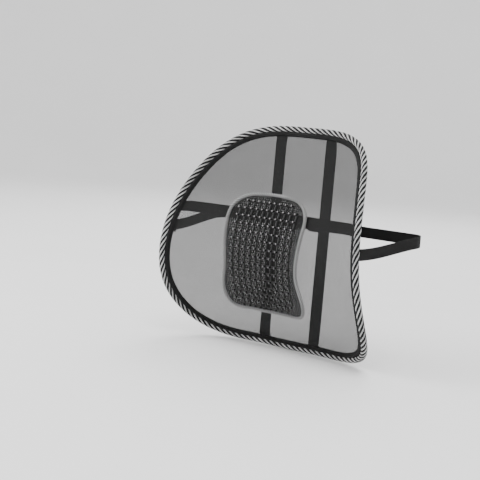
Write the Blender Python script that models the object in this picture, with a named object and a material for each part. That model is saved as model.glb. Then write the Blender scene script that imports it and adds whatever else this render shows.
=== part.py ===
"""Mesh lumbar support cushion for a chair: a bowed wire frame, its net, a massage mat and a chair strap.

The sitter faces -Y, +X is the viewer's right from the front, and +Z is up. The origin is the middle of
the chair-back plane, halfway up the frame. Every sewn piece follows one bowed surface and one rail on it.
A place on a rail has three coordinates: its arc length round the rail, `inward` along the surface towards
the middle of the panel, and `forward` along the surface's normal, towards the sitter.
"""

import math

import bmesh
import bpy
import numpy as np
from mathutils import Matrix

# Overall sizes
FRAME_HEIGHT = 0.400        # chord between the edge rope's centre lines, top to bottom
FRAME_WIDTH = 0.4556        # between the edge rope's centre lines at the widest point
BOW_DEPTH = 0.108           # how far the middle stands in front of the chord
BOW_LEAN = -0.213           # below 0 the bow is fullest under the middle
BOW_FULLNESS = 0.074
SIDE_WRAP = 0.0197          # how much further forward the sides reach than the middle

# Frame rail, as shares of the half width and half height, from the top round to the bottom
RAIL_SHAPE = [
    (0.000, 1.000), (0.316, 0.990), (0.536, 0.930), (0.702, 0.795), (0.830, 0.545), (0.931, 0.185),
    (0.992, -0.275), (0.9855, -0.600), (0.882, -0.845), (0.658, -0.970), (0.316, -0.9885), (0.000, -0.994),
]
ROPE_DIAMETER = 0.0115
WIRE_DIAMETER = 0.0040
WIRE_END_GAP = 0.0010
FERRULE_WALL = 0.0006
FERRULE_LENGTH = 0.030
BINDING_THICKNESS = 0.0008
BINDING_LEG = 0.0060        # from the wire's centre to the binding's inner edge
NET_THICKNESS = 0.0008
NET_SETBACK = 0.0034        # the net's middle, behind the rope's centre line
HEM_GAP = 0.0004            # between the net's hem and each leg of the binding

# Massage mat
MAT_WIDTH = 0.180           # between the mat cord's centre lines
MAT_TOP = 0.082             # cord's centre line above the frame's middle
MAT_BOTTOM = -0.1275
MAT_SHAPE = [
    (0.000, 1.000), (0.456, 0.981), (0.767, 0.895), (0.956, 0.695), (0.967, 0.409), (0.933, 0.074),
    (0.917, -0.279), (0.989, -0.575), (1.000, -0.833), (0.856, -0.990), (0.556, -1.010), (0.000, -1.000),
]
MAT_CORD_DIAMETER = 0.0060
BACKING_THICKNESS = 0.0006
LATTICE_THICKNESS = 0.0015
NUB_ROWS = 15
NUB_SIDE_COLUMNS = 5        # columns on each side of the middle one
NUB_END_SIDE_COLUMNS = 4    # the same in the first and last rows
NUB_TOP_MARGIN = 0.0152     # from the mat cord's highest point down to the first row
NUB_BOTTOM_MARGIN = 0.0069  # from the last row down to the mat cord's lowest point
NUB_COLUMN_PITCH = 0.0116
NUB_COLUMN_SPREAD = 0.00028  # the columns open out towards the sides
NUB_BASE = 0.0040
NUB_TIP = 0.0026
NUB_LENGTH = 0.0060

# Back tapes and cross tape
TAPE_WIDTH = 0.025
TAPE_THICKNESS = 0.0010
TAPE_SPACING = 0.116        # between the two back tapes' middles
TAPE_LAP_OUT = 0.0025       # how far a tape's sewn end reaches outside the wire's centre
TAPE_LAP_IN = 0.0035        # and inside it
TAPE_EASE = 0.012           # length over which a tape turns from the rail's curve to its flat run
CROSS_TAPE_WIDTH = 0.020
CROSS_TAPE_HEIGHT = 0.045
CROSS_LEAVE = 0.004         # inside the wire, where the cross tape leaves the binding
CROSS_LAND = 0.020          # inside the wire, where it reaches the net

# Chair strap
STRAP_WIDTH = 0.020
STRAP_THICKNESS = 0.0012
STRAP_HEIGHT = 0.0065       # where it is sewn to the frame
STRAP_REAR_HEIGHT = 0.025
STRAP_SPAN = 0.480          # across the outside of the chair's back
STRAP_DEPTH = 0.058         # from the chord to the strap behind the chair
STRAP_CORNER = 0.030
STRAP_BEND = 0.005          # where it turns back off the frame
STRAP_LAP_IN = 0.0080       # how far its sewn end reaches inside the wire's centre
STRAP_LAP_OUT = 0.0045      # outside the wire's centre, where it turns off the frame
STRAP_TAIL = 0.072          # doubled length beyond the socket
SEWN_FOLD = 0.022           # doubled length beyond the plug
FOLD_SLOPE = (0.004, 0.012)  # where the sewn tail starts and ends its drop onto the strap

# Buckle and slider, along the strap, across it and through its thickness
BUCKLE_WALL = 0.0024
BUCKLE_SKIN = 0.0014
BUCKLE_CAVITY_DEPTH = 0.0044
BUCKLE_MOUTH = 0.0070       # narrow stretch of the cavity at its mouth
BUCKLE_WINDOW = 0.0080      # side windows that the latches stand in
BUCKLE_POCKET = 0.0030      # cavity beyond the windows
BUCKLE_FLOOR = 0.0065       # from the cavity's end to the webbing's slot
PLUG_GRIP = 0.0105          # from the plug's face to the webbing's slot
FORK_ROOT = 0.0020          # how deep the fork sits in the plug's handle
LATCH_WIDTH = 0.0024
LATCH_BARB = 0.0019         # how far a latch stands out past the mouth's side
LATCH_BARB_LENGTH = 0.0030
LATCH_TIP_GAP = 0.0012      # from a latch's tip to its window's far end
LATCH_TIP_TAPER = 0.0012
ARM_TAPER = 0.0004
TONGUE_WIDTH = 0.0050
TONGUE_TAPER = 0.0008
WEB_BAR = 0.0030            # bars that webbing goes round, along the strap
WEB_BAR_THICKNESS = 0.0015
FOLD_INSET = 0.0004         # from a bar's inner edge to the middle of the webbing's fold
SLIDER_LENGTH = 0.016
SLIDER_RAIL = 0.0025
SLIDER_BAR_SINK = 0.0020    # how deep the middle bar's ends reach into the rails
SLIDER_PLACE = -0.062       # from the buckle's mouth

# Clearances
TOUCH = 0.0003              # between pieces that touch
SEW = 0.0006                # between curved pieces that are sewn together
FIT = 0.0003                # buckle parts that slide
WEB_FIT = 0.0004            # webbing in a slot
QUILT = 0.0009              # between the net and the mat's backing, which curve alike
CRIMP = 0.0004              # either side of the ferrule's wall
ANCHOR = 0.0014             # between the binding and the chair strap sewn to it

# Thread
TACK_LENGTH = 0.0030
TACK_THICKNESS = 0.0006
TACK_MARGIN = 0.0025        # from the webbing's edges
STRAP_TACK = 0.0055         # inside the wire's centre

# Fineness
RAIL_STATIONS = 72
NET_RINGS = 9
MAT_STATIONS = 44
BACKING_RINGS = 5
FOLD_STEPS = 9
FINE = 2400
PAST = 0.001                # how far a cutter runs past what it cuts

END_RUN = 0.16              # share of the rail on each side of its top or bottom point that runs across
SIDE_RUN = (0.16, 0.38)     # shares of the rail between which its right side runs up

HALF_HEIGHT = FRAME_HEIGHT / 2
HALF_WIDTH = FRAME_WIDTH / 2
ROPE_RADIUS = ROPE_DIAMETER / 2
WIRE_RADIUS = WIRE_DIAMETER / 2
FERRULE_INNER = WIRE_RADIUS + CRIMP
FERRULE_OUTER = FERRULE_INNER + FERRULE_WALL
BINDING_INNER = FERRULE_OUTER + CRIMP
BINDING_OUTER = BINDING_INNER + BINDING_THICKNESS
NET_FORWARD = -NET_SETBACK
WIRE_INWARD = math.sqrt((ROPE_RADIUS + TOUCH + BINDING_OUTER) ** 2 - NET_SETBACK**2)
NET_EDGE = WIRE_INWARD + BINDING_INNER + TOUCH
NET_FRONT = NET_FORWARD + NET_THICKNESS / 2
NET_BACK = NET_FORWARD - NET_THICKNESS / 2
SLIT = NET_THICKNESS / 2 + HEM_GAP
BINDING_BACK = NET_FORWARD - BINDING_OUTER * math.sin(math.pi / 3)
MAT_CORD_RADIUS = MAT_CORD_DIAMETER / 2
MAT_CORD_FORWARD = NET_FRONT + TOUCH + MAT_CORD_RADIUS
BACKING_BACK = NET_FRONT + QUILT
BACKING_FORWARD = BACKING_BACK + BACKING_THICKNESS / 2
LATTICE_BACK = BACKING_BACK + BACKING_THICKNESS + TOUCH
LATTICE_FRONT = LATTICE_BACK + LATTICE_THICKNESS
NUB_FORWARD = LATTICE_FRONT + NUB_LENGTH

FOLD_DROP = WEB_BAR_THICKNESS + TOUCH   # how far the sewn tail sinks towards the strap under it
LAYER = WEB_BAR_THICKNESS / 2 + WEB_FIT + STRAP_THICKNESS / 2   # from a bar's middle to the webbing's
WEB_SLOT = LAYER + STRAP_THICKNESS / 2 - FOLD_INSET + WEB_FIT
SLOT_HALF_WIDTH = STRAP_WIDTH / 2 + WEB_FIT
BUCKLE_HALF_WIDTH = SLOT_HALF_WIDTH + BUCKLE_WALL
BUCKLE_HALF_DEPTH = BUCKLE_CAVITY_DEPTH / 2 + BUCKLE_SKIN
CAVITY_HALF_WIDTH = SLOT_HALF_WIDTH
CAVITY_HALF_DEPTH = BUCKLE_CAVITY_DEPTH / 2
MOUTH_HALF_WIDTH = CAVITY_HALF_WIDTH - LATCH_BARB
WINDOW_END = BUCKLE_MOUTH + BUCKLE_WINDOW
CAVITY_LENGTH = WINDOW_END + BUCKLE_POCKET
SOCKET_SLOT = CAVITY_LENGTH + BUCKLE_FLOOR
SOCKET_END = SOCKET_SLOT + WEB_SLOT + WEB_BAR
PLUG_SLOT = FIT + PLUG_GRIP
PLUG_END = PLUG_SLOT + WEB_SLOT + WEB_BAR


# The bowed surface

def surface(x, z):
    """Point on the bow: a quartic arch over the height, and a parabola over the width."""
    s = z / HALF_HEIGHT
    arch = BOW_DEPTH * (1 - s**2) * (1 + BOW_LEAN * s + BOW_FULLNESS * s**2)
    return np.stack([x, -arch - SIDE_WRAP * (x / HALF_WIDTH) ** 2, z], axis=-1)


def forward_normal(x, z):
    """Unit normal of the bow, towards the sitter."""
    s = z / HALF_HEIGHT
    swell = 1 + BOW_LEAN * s + BOW_FULLNESS * s**2
    rise = -2 * s * swell + (1 - s**2) * (BOW_LEAN + 2 * BOW_FULLNESS * s)
    across = -2 * SIDE_WRAP * x / HALF_WIDTH**2
    along = -BOW_DEPTH * rise / HALF_HEIGHT
    normal = np.stack([across, -np.ones_like(across), along], axis=-1)
    return normal / np.linalg.norm(normal, axis=-1, keepdims=True)


def on_surface(x, z, forward):
    """Point at x and z on the bow, moved along the normal."""
    x, z, forward = np.broadcast_arrays(*(np.asarray(v, float) for v in (x, z, forward)))
    return surface(x, z) + forward[..., None] * forward_normal(x, z)


def closed_spline(knots, count):
    """Periodic cubic spline through the knots, spaced by the square root of their distances."""
    n = len(knots)
    row = np.arange(n)
    after = np.roll(knots, -1, axis=0)
    step = np.linalg.norm(after - knots, axis=1) ** 0.5
    slope = (after - knots) / step[:, None]
    matrix = np.zeros((n, n))
    matrix[row, row] = 2 * (step + np.roll(step, 1))
    matrix[row, row - 1] = np.roll(step, 1)
    matrix[row, (row + 1) % n] = step
    bend = np.linalg.solve(matrix, 6 * (slope - np.roll(slope, 1, axis=0)))
    ends = np.concatenate([[0], np.cumsum(step)])
    at = np.linspace(0, ends[-1], count, endpoint=False)
    span = np.clip(np.searchsorted(ends, at, side="right") - 1, 0, n - 1)
    h = step[span][:, None]
    b = (at - ends[span])[:, None]
    a = h - b
    bend_after = np.roll(bend, -1, axis=0)
    curve = bend[span] * a**3 / (6 * h) + bend_after[span] * b**3 / (6 * h)
    curve += (knots[span] / h - bend[span] * h / 6) * a
    return curve + (after[span] / h - bend_after[span] * h / 6) * b


class Rail:
    """A closed line on the bow, measured by arc length from its lowest point towards +X."""

    def __init__(self, shape, half_width, top, bottom):
        middle, half = (top + bottom) / 2, (top - bottom) / 2
        right = np.array(shape[::-1]) * [half_width, half] + [0, middle]
        left = right[-2:0:-1] * [-1, 1]
        line = closed_spline(np.concatenate([right, left]), FINE)
        points = surface(line[:, 0], line[:, 1])
        after = np.roll(points, -1, axis=0)
        self.arc = np.concatenate([[0], np.cumsum(np.linalg.norm(after - points, axis=1))])
        self.length = self.arc[-1]
        self.line = np.concatenate([line, line[:1]])
        tangent = after - np.roll(points, 1, axis=0)
        inward = np.cross(forward_normal(line[:, 0], line[:, 1]), tangent)
        inward /= np.linalg.norm(inward, axis=1, keepdims=True)
        inward = inward[:, [0, 2]]
        self.inward = np.concatenate([inward, inward[:1]])

    def read(self, values, arc):
        arc = np.asarray(arc, float) % self.length
        return np.stack([np.interp(arc, self.arc, values[:, k]) for k in (0, 1)], axis=-1)

    def place(self, arc, inward, forward):
        """World points at these rail coordinates."""
        inward = np.asarray(inward, float)
        at = self.read(self.line, arc) + inward[..., None] * self.read(self.inward, arc)
        return on_surface(at[..., 0], at[..., 1], forward)

    def arc_at_x(self, x, top):
        """Arc length where the rail crosses x, on its top or its bottom run."""
        reach = self.length * END_RUN
        middle = self.length / 2 if top else 0.0
        run = middle + np.linspace(-reach, reach, FINE)
        across = self.read(self.line, run)[:, 0]
        order = np.argsort(across)
        return np.interp(x, across[order], run[order])

    def arc_at_height(self, z, side):
        """Arc length where the right (+1) or left (-1) run crosses z."""
        run = np.linspace(*SIDE_RUN, FINE) * self.length
        arc = np.interp(z, self.read(self.line, run)[:, 1], run)
        return arc if side > 0 else self.length - arc

    def stations(self, count):
        return np.arange(count) * self.length / count


# Mesh helpers

def material(name, colour, roughness, metallic=0.0):
    made = bpy.data.materials.new(name)
    made.use_nodes = True
    shader = made.node_tree.nodes["Principled BSDF"]
    shader.inputs["Base Color"].default_value = (*colour, 1)
    shader.inputs["Roughness"].default_value = roughness
    shader.inputs["Metallic"].default_value = metallic
    made.diffuse_color = (*colour, 1)
    return made


def add_object(name, points, faces, finish, sharp=35):
    """Object from points and faces, with its normals facing out and its round parts shaded smooth."""
    mesh = bpy.data.meshes.new(name)
    mesh.from_pydata(np.asarray(points, float).reshape(-1, 3).tolist(), [], [list(f) for f in faces])
    work = bmesh.new()
    work.from_mesh(mesh)
    bmesh.ops.recalc_face_normals(work, faces=work.faces)
    work.to_mesh(mesh)
    work.free()
    mesh.shade_smooth()
    mesh.set_sharp_from_angle(angle=math.radians(sharp))
    mesh.materials.append(finish)
    made = bpy.data.objects.new(name, mesh)
    bpy.context.scene.collection.objects.link(made)
    return made


def loft(name, rings, finish, closed):
    """Solid skinned over rings of equal size: a closed loop of rings, or a run with a cap at each end."""
    count, around = rings.shape[:2]
    faces = []
    for i in range(count if closed else count - 1):
        j = (i + 1) % count
        for k in range(around):
            m = (k + 1) % around
            faces.append((i * around + k, i * around + m, j * around + m, j * around + k))
    if not closed:
        faces += [range(around), range((count - 1) * around, count * around)]
    return add_object(name, rings, faces, finish)


def ring_profile(radius, sides, turn=0.0):
    """Inward and forward offsets of a regular polygon."""
    angle = np.arange(sides) * 2 * math.pi / sides + turn
    return np.stack([radius * np.cos(angle), radius * np.sin(angle)], axis=1)


def sweep(name, rail, arcs, profile, finish, closed=True):
    """A profile of inward and forward offsets carried along the rail."""
    rings = rail.place(arcs[:, None], profile[None, :, 0], profile[None, :, 1])
    return loft(name, rings, finish, closed)


def curved_plate(name, rail, stations, inward, forward, thickness, rings, middle, finish):
    """Thin plate that fills a rail: rings of its edge shrunk towards the middle, on the bow."""
    arcs = rail.stations(stations)
    edge = rail.read(rail.line, arcs) + inward * rail.read(rail.inward, arcs)
    share = np.linspace(1, 0, rings + 1)[:-1]
    flat = middle + share[:, None, None] * (edge - middle)[None]
    layers = []
    for side in (0.5, -0.5):
        level = forward + side * thickness
        layers.append(on_surface(flat[..., 0], flat[..., 1], level).reshape(-1, 3))
        layers.append(on_surface(middle[0], middle[1], level).reshape(1, 3))
    size = stations * rings + 1
    faces = []
    for layer in (0, size):
        for r in range(rings - 1):
            for k in range(stations):
                m = (k + 1) % stations
                a, b = layer + r * stations, layer + (r + 1) * stations
                faces.append((a + k, a + m, b + m, b + k))
        last = layer + (rings - 1) * stations
        faces += [(last + k, last + (k + 1) % stations, layer + size - 1) for k in range(stations)]
    for k in range(stations):
        m = (k + 1) % stations
        faces.append((k, m, size + m, size + k))
    return add_object(name, np.concatenate(layers), faces, finish)


def strip(name, grid, thickness, finish):
    """Webbing: a grid of middle points, rows along it and columns across it, given its thickness."""
    along, across = np.gradient(grid, axis=0), np.gradient(grid, axis=1)
    normal = np.cross(along, across)
    normal *= thickness / 2 / np.linalg.norm(normal, axis=-1, keepdims=True)
    rings = np.concatenate([grid + normal, (grid - normal)[:, ::-1]], axis=1)
    return loft(name, rings, finish, closed=False)


def outline_solid(name, outline, low, high, frame, finish):
    """An outline in the strap's along and across directions, given its thickness."""
    rings = np.array([[frame(u, v, h) for u, v in outline] for h in (low, high)])
    return loft(name, rings, finish, closed=False)


def block(name, low, high, frame, finish):
    outline = [(low[0], low[1]), (high[0], low[1]), (high[0], high[1]), (low[0], high[1])]
    return outline_solid(name, outline, low[2], high[2], frame, finish)


def combine(target, other, operation):
    """Apply a Boolean to the target and remove the other object."""
    change = target.modifiers.new(operation.lower(), "BOOLEAN")
    change.operation = operation
    change.solver = "EXACT"
    change.object = other
    bpy.context.view_layer.update()
    cut = bpy.data.meshes.new_from_object(target.evaluated_get(bpy.context.evaluated_depsgraph_get()))
    target.modifiers.clear()
    target.data = cut
    bpy.data.objects.remove(other)
    return target


# Frame and edge

def frame_wire(rail, finish):
    gap = WIRE_END_GAP / 2
    arcs = np.concatenate([[gap], rail.stations(RAIL_STATIONS)[1:], [rail.length - gap]])
    profile = ring_profile(WIRE_RADIUS, 6) + [WIRE_INWARD, NET_FORWARD]
    sweep("frame_wire", rail, arcs, profile, finish, closed=False)


def wire_ferrule(rail, finish):
    """Crimped sleeve over the wire's two ends: a wall's section carried round the wire."""
    half = FERRULE_LENGTH / 2
    arcs = np.array([-half, 0, half, half, 0, -half])
    radii = np.array([FERRULE_OUTER] * 3 + [FERRULE_INNER] * 3)
    angles = np.arange(6) * math.pi / 3
    inward = WIRE_INWARD + radii[None] * np.cos(angles)[:, None]
    forward = NET_FORWARD + radii[None] * np.sin(angles)[:, None]
    rings = rail.place(np.broadcast_to(arcs, inward.shape), inward, forward)
    loft("wire_ferrule", rings, finish, closed=True)


def edge_binding(rail, finish):
    """Folded tape: round the wire on its outer side, with two legs that hold the net's hem."""
    turns = np.radians([60, 120, 180, 240, 300])
    inner_start = math.sqrt(BINDING_INNER**2 - SLIT**2)
    outer_leg = SLIT + BINDING_THICKNESS
    outer_start = math.sqrt(BINDING_OUTER**2 - outer_leg**2)
    outer = [(BINDING_LEG, outer_leg), (outer_start, outer_leg)]
    outer += [(BINDING_OUTER * math.cos(t), BINDING_OUTER * math.sin(t)) for t in turns]
    outer += [(outer_start, -outer_leg), (BINDING_LEG, -outer_leg)]
    inner = [(BINDING_LEG, -SLIT), (inner_start, -SLIT)]
    inner += [(BINDING_INNER * math.cos(t), BINDING_INNER * math.sin(t)) for t in turns[::-1]]
    inner += [(inner_start, SLIT), (BINDING_LEG, SLIT)]
    profile = np.array(outer + inner) + [WIRE_INWARD, NET_FORWARD]
    sweep("edge_binding", rail, rail.stations(RAIL_STATIONS), profile, finish)


def edge_rope(rail, finish):
    profile = ring_profile(ROPE_RADIUS, 8, math.pi / 8)
    sweep("edge_rope", rail, rail.stations(RAIL_STATIONS), profile, finish)


def mesh_panel(rail, finish):
    curved_plate("mesh_panel", rail, RAIL_STATIONS, NET_EDGE, NET_FORWARD, NET_THICKNESS, NET_RINGS,
                 np.array([0.0, 0.0]), finish)


# Massage mat

def mat_cord(mat, finish):
    profile = ring_profile(MAT_CORD_RADIUS, 6) + [0, MAT_CORD_FORWARD]
    sweep("mat_cord", mat, mat.stations(MAT_STATIONS), profile, finish)


def mat_backing(mat, finish):
    middle = np.array([0.0, (MAT_TOP + MAT_BOTTOM) / 2])
    curved_plate("mat_backing", mat, MAT_STATIONS, MAT_CORD_RADIUS + TOUCH, BACKING_FORWARD,
                 BACKING_THICKNESS, BACKING_RINGS, middle, finish)


def nub_columns():
    k = np.arange(-NUB_SIDE_COLUMNS, NUB_SIDE_COLUMNS + 1)
    return k * NUB_COLUMN_PITCH + np.sign(k) * k**2 * NUB_COLUMN_SPREAD


def row_edges():
    """Heights of both edges of every row of nubs: the rows are spaced evenly along the bow."""
    z = np.linspace(HALF_HEIGHT, -HALF_HEIGHT, FINE)
    points = surface(np.zeros_like(z), z)
    arc = np.concatenate([[0], np.cumsum(np.linalg.norm(np.diff(points, axis=0), axis=1))])
    first, last = np.interp([NUB_TOP_MARGIN - MAT_TOP, -NUB_BOTTOM_MARGIN - MAT_BOTTOM], -z, arc)
    rows = np.linspace(first, last, NUB_ROWS)
    return np.interp((rows[:, None] + [-NUB_BASE / 2, NUB_BASE / 2]).ravel(), arc, z)


def lattice_cells():
    """True where the lattice has material: its bars and their crossings, with the corner nubs left off."""
    rows, columns = 2 * NUB_ROWS - 1, 4 * NUB_SIDE_COLUMNS + 1
    skip = 2 * (NUB_SIDE_COLUMNS - NUB_END_SIDE_COLUMNS)
    filled = np.zeros((rows, columns), bool)
    filled[::2] = True
    filled[:, ::2] = True
    for end in (slice(0, 2), slice(rows - 2, rows)):
        filled[end, :skip] = False
        filled[end, columns - skip:] = False
    return filled


def massage_mat(finish):
    """Moulded lattice: square nubs at the crossings of its bars, open between them."""
    half = NUB_BASE / 2
    x_lines = (nub_columns()[:, None] + [-half, half]).ravel()
    z_lines = row_edges()
    filled = lattice_cells()
    points, faces, index = [], [], {}

    def corner(i, j, level):
        key = (i, j, level)
        if key not in index:
            index[key] = len(points)
            points.append(on_surface(x_lines[j], z_lines[i], level))
        return index[key]

    def nub(i, j, around):
        middle = np.array([x_lines[j:j + 2].mean(), z_lines[i:i + 2].mean()])
        first = len(points)
        for a, b in around:
            x, z = middle + (np.array([x_lines[b], z_lines[a]]) - middle) * NUB_TIP / NUB_BASE
            points.append(on_surface(x, z, NUB_FORWARD))
        tip = range(first, first + len(around))
        base = [corner(a, b, LATTICE_FRONT) for a, b in around]
        sides = [(base[k - 1], base[k], tip[k], tip[k - 1]) for k in range(len(around))]
        return sides + [tip]

    edges = (((-1, 0), (0, 0), (0, 1)), ((1, 0), (1, 1), (1, 0)),
             ((0, -1), (1, 0), (0, 0)), ((0, 1), (0, 1), (1, 1)))
    for i, j in zip(*np.nonzero(filled)):
        around = ((i, j), (i, j + 1), (i + 1, j + 1), (i + 1, j))
        faces.append([corner(a, b, LATTICE_BACK) for a, b in around[::-1]])
        if i % 2 == 0 and j % 2 == 0:
            faces += nub(i, j, around)
        else:
            faces.append([corner(a, b, LATTICE_FRONT) for a, b in around])
        for (di, dj), p, q in edges:
            near = (i + di, j + dj)
            outside = min(near) < 0 or near[0] >= filled.shape[0] or near[1] >= filled.shape[1]
            if outside or not filled[near]:
                ends = (i + p[0], j + p[1]), (i + q[0], j + q[1])
                low = [corner(*end, LATTICE_BACK) for end in ends]
                high = [corner(*end, LATTICE_FRONT) for end in ends]
                faces.append((*low, *high[::-1]))
    return add_object("massage_mat", points, faces, finish)


# Tapes and strap

def tape_end(rail, x, top):
    """Middle points of a back tape's end, laid on the back of the binding, from its end inwards."""
    arc = rail.arc_at_x(x, top)
    inward = WIRE_INWARD + np.array([-TAPE_LAP_OUT, TAPE_LAP_IN])
    level = BINDING_BACK - SEW - TAPE_THICKNESS / 2
    return rail.place(arc[None, :], inward[:, None], level)


def back_tape(rail, side, finish, thread):
    """Bow-string tape: sewn to the back of both rails, and straight between them."""
    name = "left" if side < 0 else "right"
    x = side * TAPE_SPACING / 2 + np.array([-0.5, 0, 0.5]) * TAPE_WIDTH
    top, bottom = tape_end(rail, x, True), tape_end(rail, x, False)[::-1]
    high, low = top[-1].mean(axis=0), bottom[0].mean(axis=0)
    ease = (high - low) * TAPE_EASE / np.linalg.norm(high - low)
    flat = [np.column_stack([x, np.tile(at[1:], (len(x), 1))]) for at in (high - ease, low + ease)]
    grid = np.concatenate([top, flat, bottom])
    strip(f"back_tape_{name}", grid, TAPE_THICKNESS, finish)
    inset = side * TAPE_SPACING / 2 + np.array([-0.5, 0, 0.5]) * (TAPE_WIDTH - 2 * TACK_MARGIN)
    level = BINDING_BACK - SEW - TAPE_THICKNESS - TOUCH - TACK_THICKNESS / 2
    for upper in (True, False):
        arc = rail.arc_at_x(inset, upper)
        inward = WIRE_INWARD + np.array([-0.5, 0.5]) * TACK_LENGTH
        place = rail.place(arc[None, :], inward[:, None], level)
        strip(f"bartack_{name}_tape_{'top' if upper else 'bottom'}", place, TACK_THICKNESS, thread)


def cross_tape_level(inward):
    """Forward place of the cross tape's middle: against the net, then out over the binding's back."""
    on_net = NET_BACK - QUILT - TAPE_THICKNESS / 2
    on_binding = BINDING_BACK - SEW - TAPE_THICKNESS / 2
    t = np.clip((inward - WIRE_INWARD - CROSS_LEAVE) / (CROSS_LAND - CROSS_LEAVE), 0, 1)
    return on_binding + (on_net - on_binding) * t * t * (3 - 2 * t)


def cross_tape(rail, finish, thread):
    """Tape across the back of the net, sewn to the back of both side rails."""
    across = np.array([-0.5, 0, 0.5])
    z = CROSS_TAPE_HEIGHT + across * CROSS_TAPE_WIDTH
    reach = rail.read(rail.line, rail.arc_at_height(z, 1))[:, 0]
    near = WIRE_INWARD + np.linspace(-TAPE_LAP_OUT, CROSS_LAND, 7)
    middle = np.linspace(-1, 1, 11)[1:-1]
    x = [-(reach - a) for a in near]
    x += [m * (reach - near[-1]) for m in middle]
    x += [reach - a for a in near[::-1]]
    x = np.array(x)
    grid = on_surface(x, z[None, :], cross_tape_level(reach[None, :] - np.abs(x)))
    strip("cross_tape", grid, TAPE_THICKNESS, finish)
    z = CROSS_TAPE_HEIGHT + across * (CROSS_TAPE_WIDTH - 2 * TACK_MARGIN)
    level = BINDING_BACK - SEW - TAPE_THICKNESS - TOUCH - TACK_THICKNESS / 2
    inward = WIRE_INWARD + np.array([-0.5, 0.5]) * TACK_LENGTH
    for name, side in (("left", -1), ("right", 1)):
        place = rail.place(rail.arc_at_height(z, side)[None, :], inward[:, None], level)
        strip(f"bartack_cross_tape_{name}", place, TACK_THICKNESS, thread)


def filleted(corners, radii, step=math.radians(14)):
    """A line through the corners in plan, with each inner corner rounded to its radius."""
    line = [np.array(corners[0], float)]
    for before, here, after, radius in zip(corners, corners[1:], corners[2:], radii):
        back = np.array(before, float) - here
        on = np.array(after, float) - here
        back /= np.linalg.norm(back)
        on /= np.linalg.norm(on)
        turn = math.pi - math.acos(float(np.clip(back @ on, -1, 1)))
        reach = radius * math.tan(turn / 2)
        centre = here + (back + on) / np.linalg.norm(back + on) * radius / math.cos(turn / 2)
        start = here + back * reach
        spoke = start - centre
        sign = math.copysign(1, spoke[0] * -back[1] - spoke[1] * -back[0])
        for t in np.linspace(0, turn, max(3, math.ceil(turn / step) + 1)):
            c, s = math.cos(sign * t), math.sin(sign * t)
            line.append(centre + [c * spoke[0] - s * spoke[1], s * spoke[0] + c * spoke[1]])
    line.append(np.array(corners[-1], float))
    return np.array(line)


def strap_plan(rail, side):
    """Plan of one strap half: off the back of the binding, along the chair's side, round to the rear."""
    arc = rail.arc_at_height(STRAP_HEIGHT, side)
    level = BINDING_BACK - ANCHOR - STRAP_THICKNESS / 2
    start = rail.place(arc, WIRE_INWARD + STRAP_LAP_IN, level)
    leave = rail.place(arc, WIRE_INWARD - STRAP_LAP_OUT, level)
    corner = (side * STRAP_SPAN / 2, STRAP_DEPTH)
    return [start[:2], leave[:2], corner], start, leave


def fold_plan(side, bar, tail, drop):
    """Plan of the fold round a buckle's bar, and of the tail that lies back along the strap."""
    centre = np.array([bar, STRAP_DEPTH + LAYER])
    angles = np.radians(np.linspace(-90, 90, FOLD_STEPS))
    turn = centre + LAYER * np.column_stack([-side * np.cos(angles), np.sin(angles)])
    top = centre[1] + LAYER
    start, end = FOLD_SLOPE
    back = [(bar + side * start, top), (bar + side * end, top - drop), (bar + side * tail, top - drop)]
    return np.concatenate([turn, back])


def strap_half(rail, side, end, tail, drop, finish, thread):
    """One strap half: its plan, raised towards the rear, with its width turning upright as it rises."""
    name = "left" if side < 0 else "right"
    corners, start, leave = strap_plan(rail, side)
    bar = side * end
    plan = filleted(corners + [(bar + side * WEB_BAR, STRAP_DEPTH)], [STRAP_BEND, STRAP_CORNER])
    run = np.concatenate([[0], np.cumsum(np.linalg.norm(np.diff(plan, axis=0), axis=1))])
    sewn = math.dist(corners[0], corners[1])
    risen = sewn + math.dist(corners[1], corners[2])
    t = np.clip((run - sewn) / (risen - sewn), 0, 1)
    rise = t * t * (3 - 2 * t)
    base = start[2] + (leave[2] - start[2]) * np.clip(run / sewn, 0, 1)
    height = base + rise * (STRAP_REAR_HEIGHT - leave[2])
    fold = fold_plan(side, bar, tail, drop)
    plan = np.concatenate([plan, fold])
    height = np.concatenate([height, np.full(len(fold), STRAP_REAR_HEIGHT)])
    rise = np.concatenate([rise, np.ones(len(fold))])
    middle = np.column_stack([plan, height])
    along = np.gradient(middle, axis=0)
    along /= np.linalg.norm(along, axis=1, keepdims=True)
    normal = forward_normal(start[0], start[2])
    lean = -normal[2] / normal[1]
    upright = np.column_stack([np.zeros(len(rise)), lean * (1 - rise), np.ones(len(rise))])
    across = upright - (upright * along).sum(axis=1, keepdims=True) * along
    across *= STRAP_WIDTH / 2 / np.linalg.norm(across, axis=1, keepdims=True)
    strip(f"strap_{name}", np.stack([middle - across, middle + across], axis=1), STRAP_THICKNESS, finish)
    offset = np.array([-0.5, 0, 0.5]) * (STRAP_WIDTH - 2 * TACK_MARGIN)
    arc = rail.arc_at_height(STRAP_HEIGHT + offset, side)
    level = BINDING_BACK - ANCHOR - STRAP_THICKNESS - SEW - TACK_THICKNESS / 2
    inward = WIRE_INWARD + STRAP_TACK + np.array([-0.5, 0.5]) * TACK_LENGTH
    place = rail.place(arc[None, :], inward[:, None], level)
    strip(f"bartack_strap_{name}", place, TACK_THICKNESS, thread)


# Buckle and slider

def strap_frame(u, v, h):
    """World point from along the strap (+X), across it (+Z) and away from the chair (+Y)."""
    return (u, STRAP_DEPTH + LAYER + h, STRAP_REAR_HEIGHT + v)


def hole(target, low, high):
    return combine(target, block("cutter", low, high, strap_frame, target.data.materials[0]), "DIFFERENCE")


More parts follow.
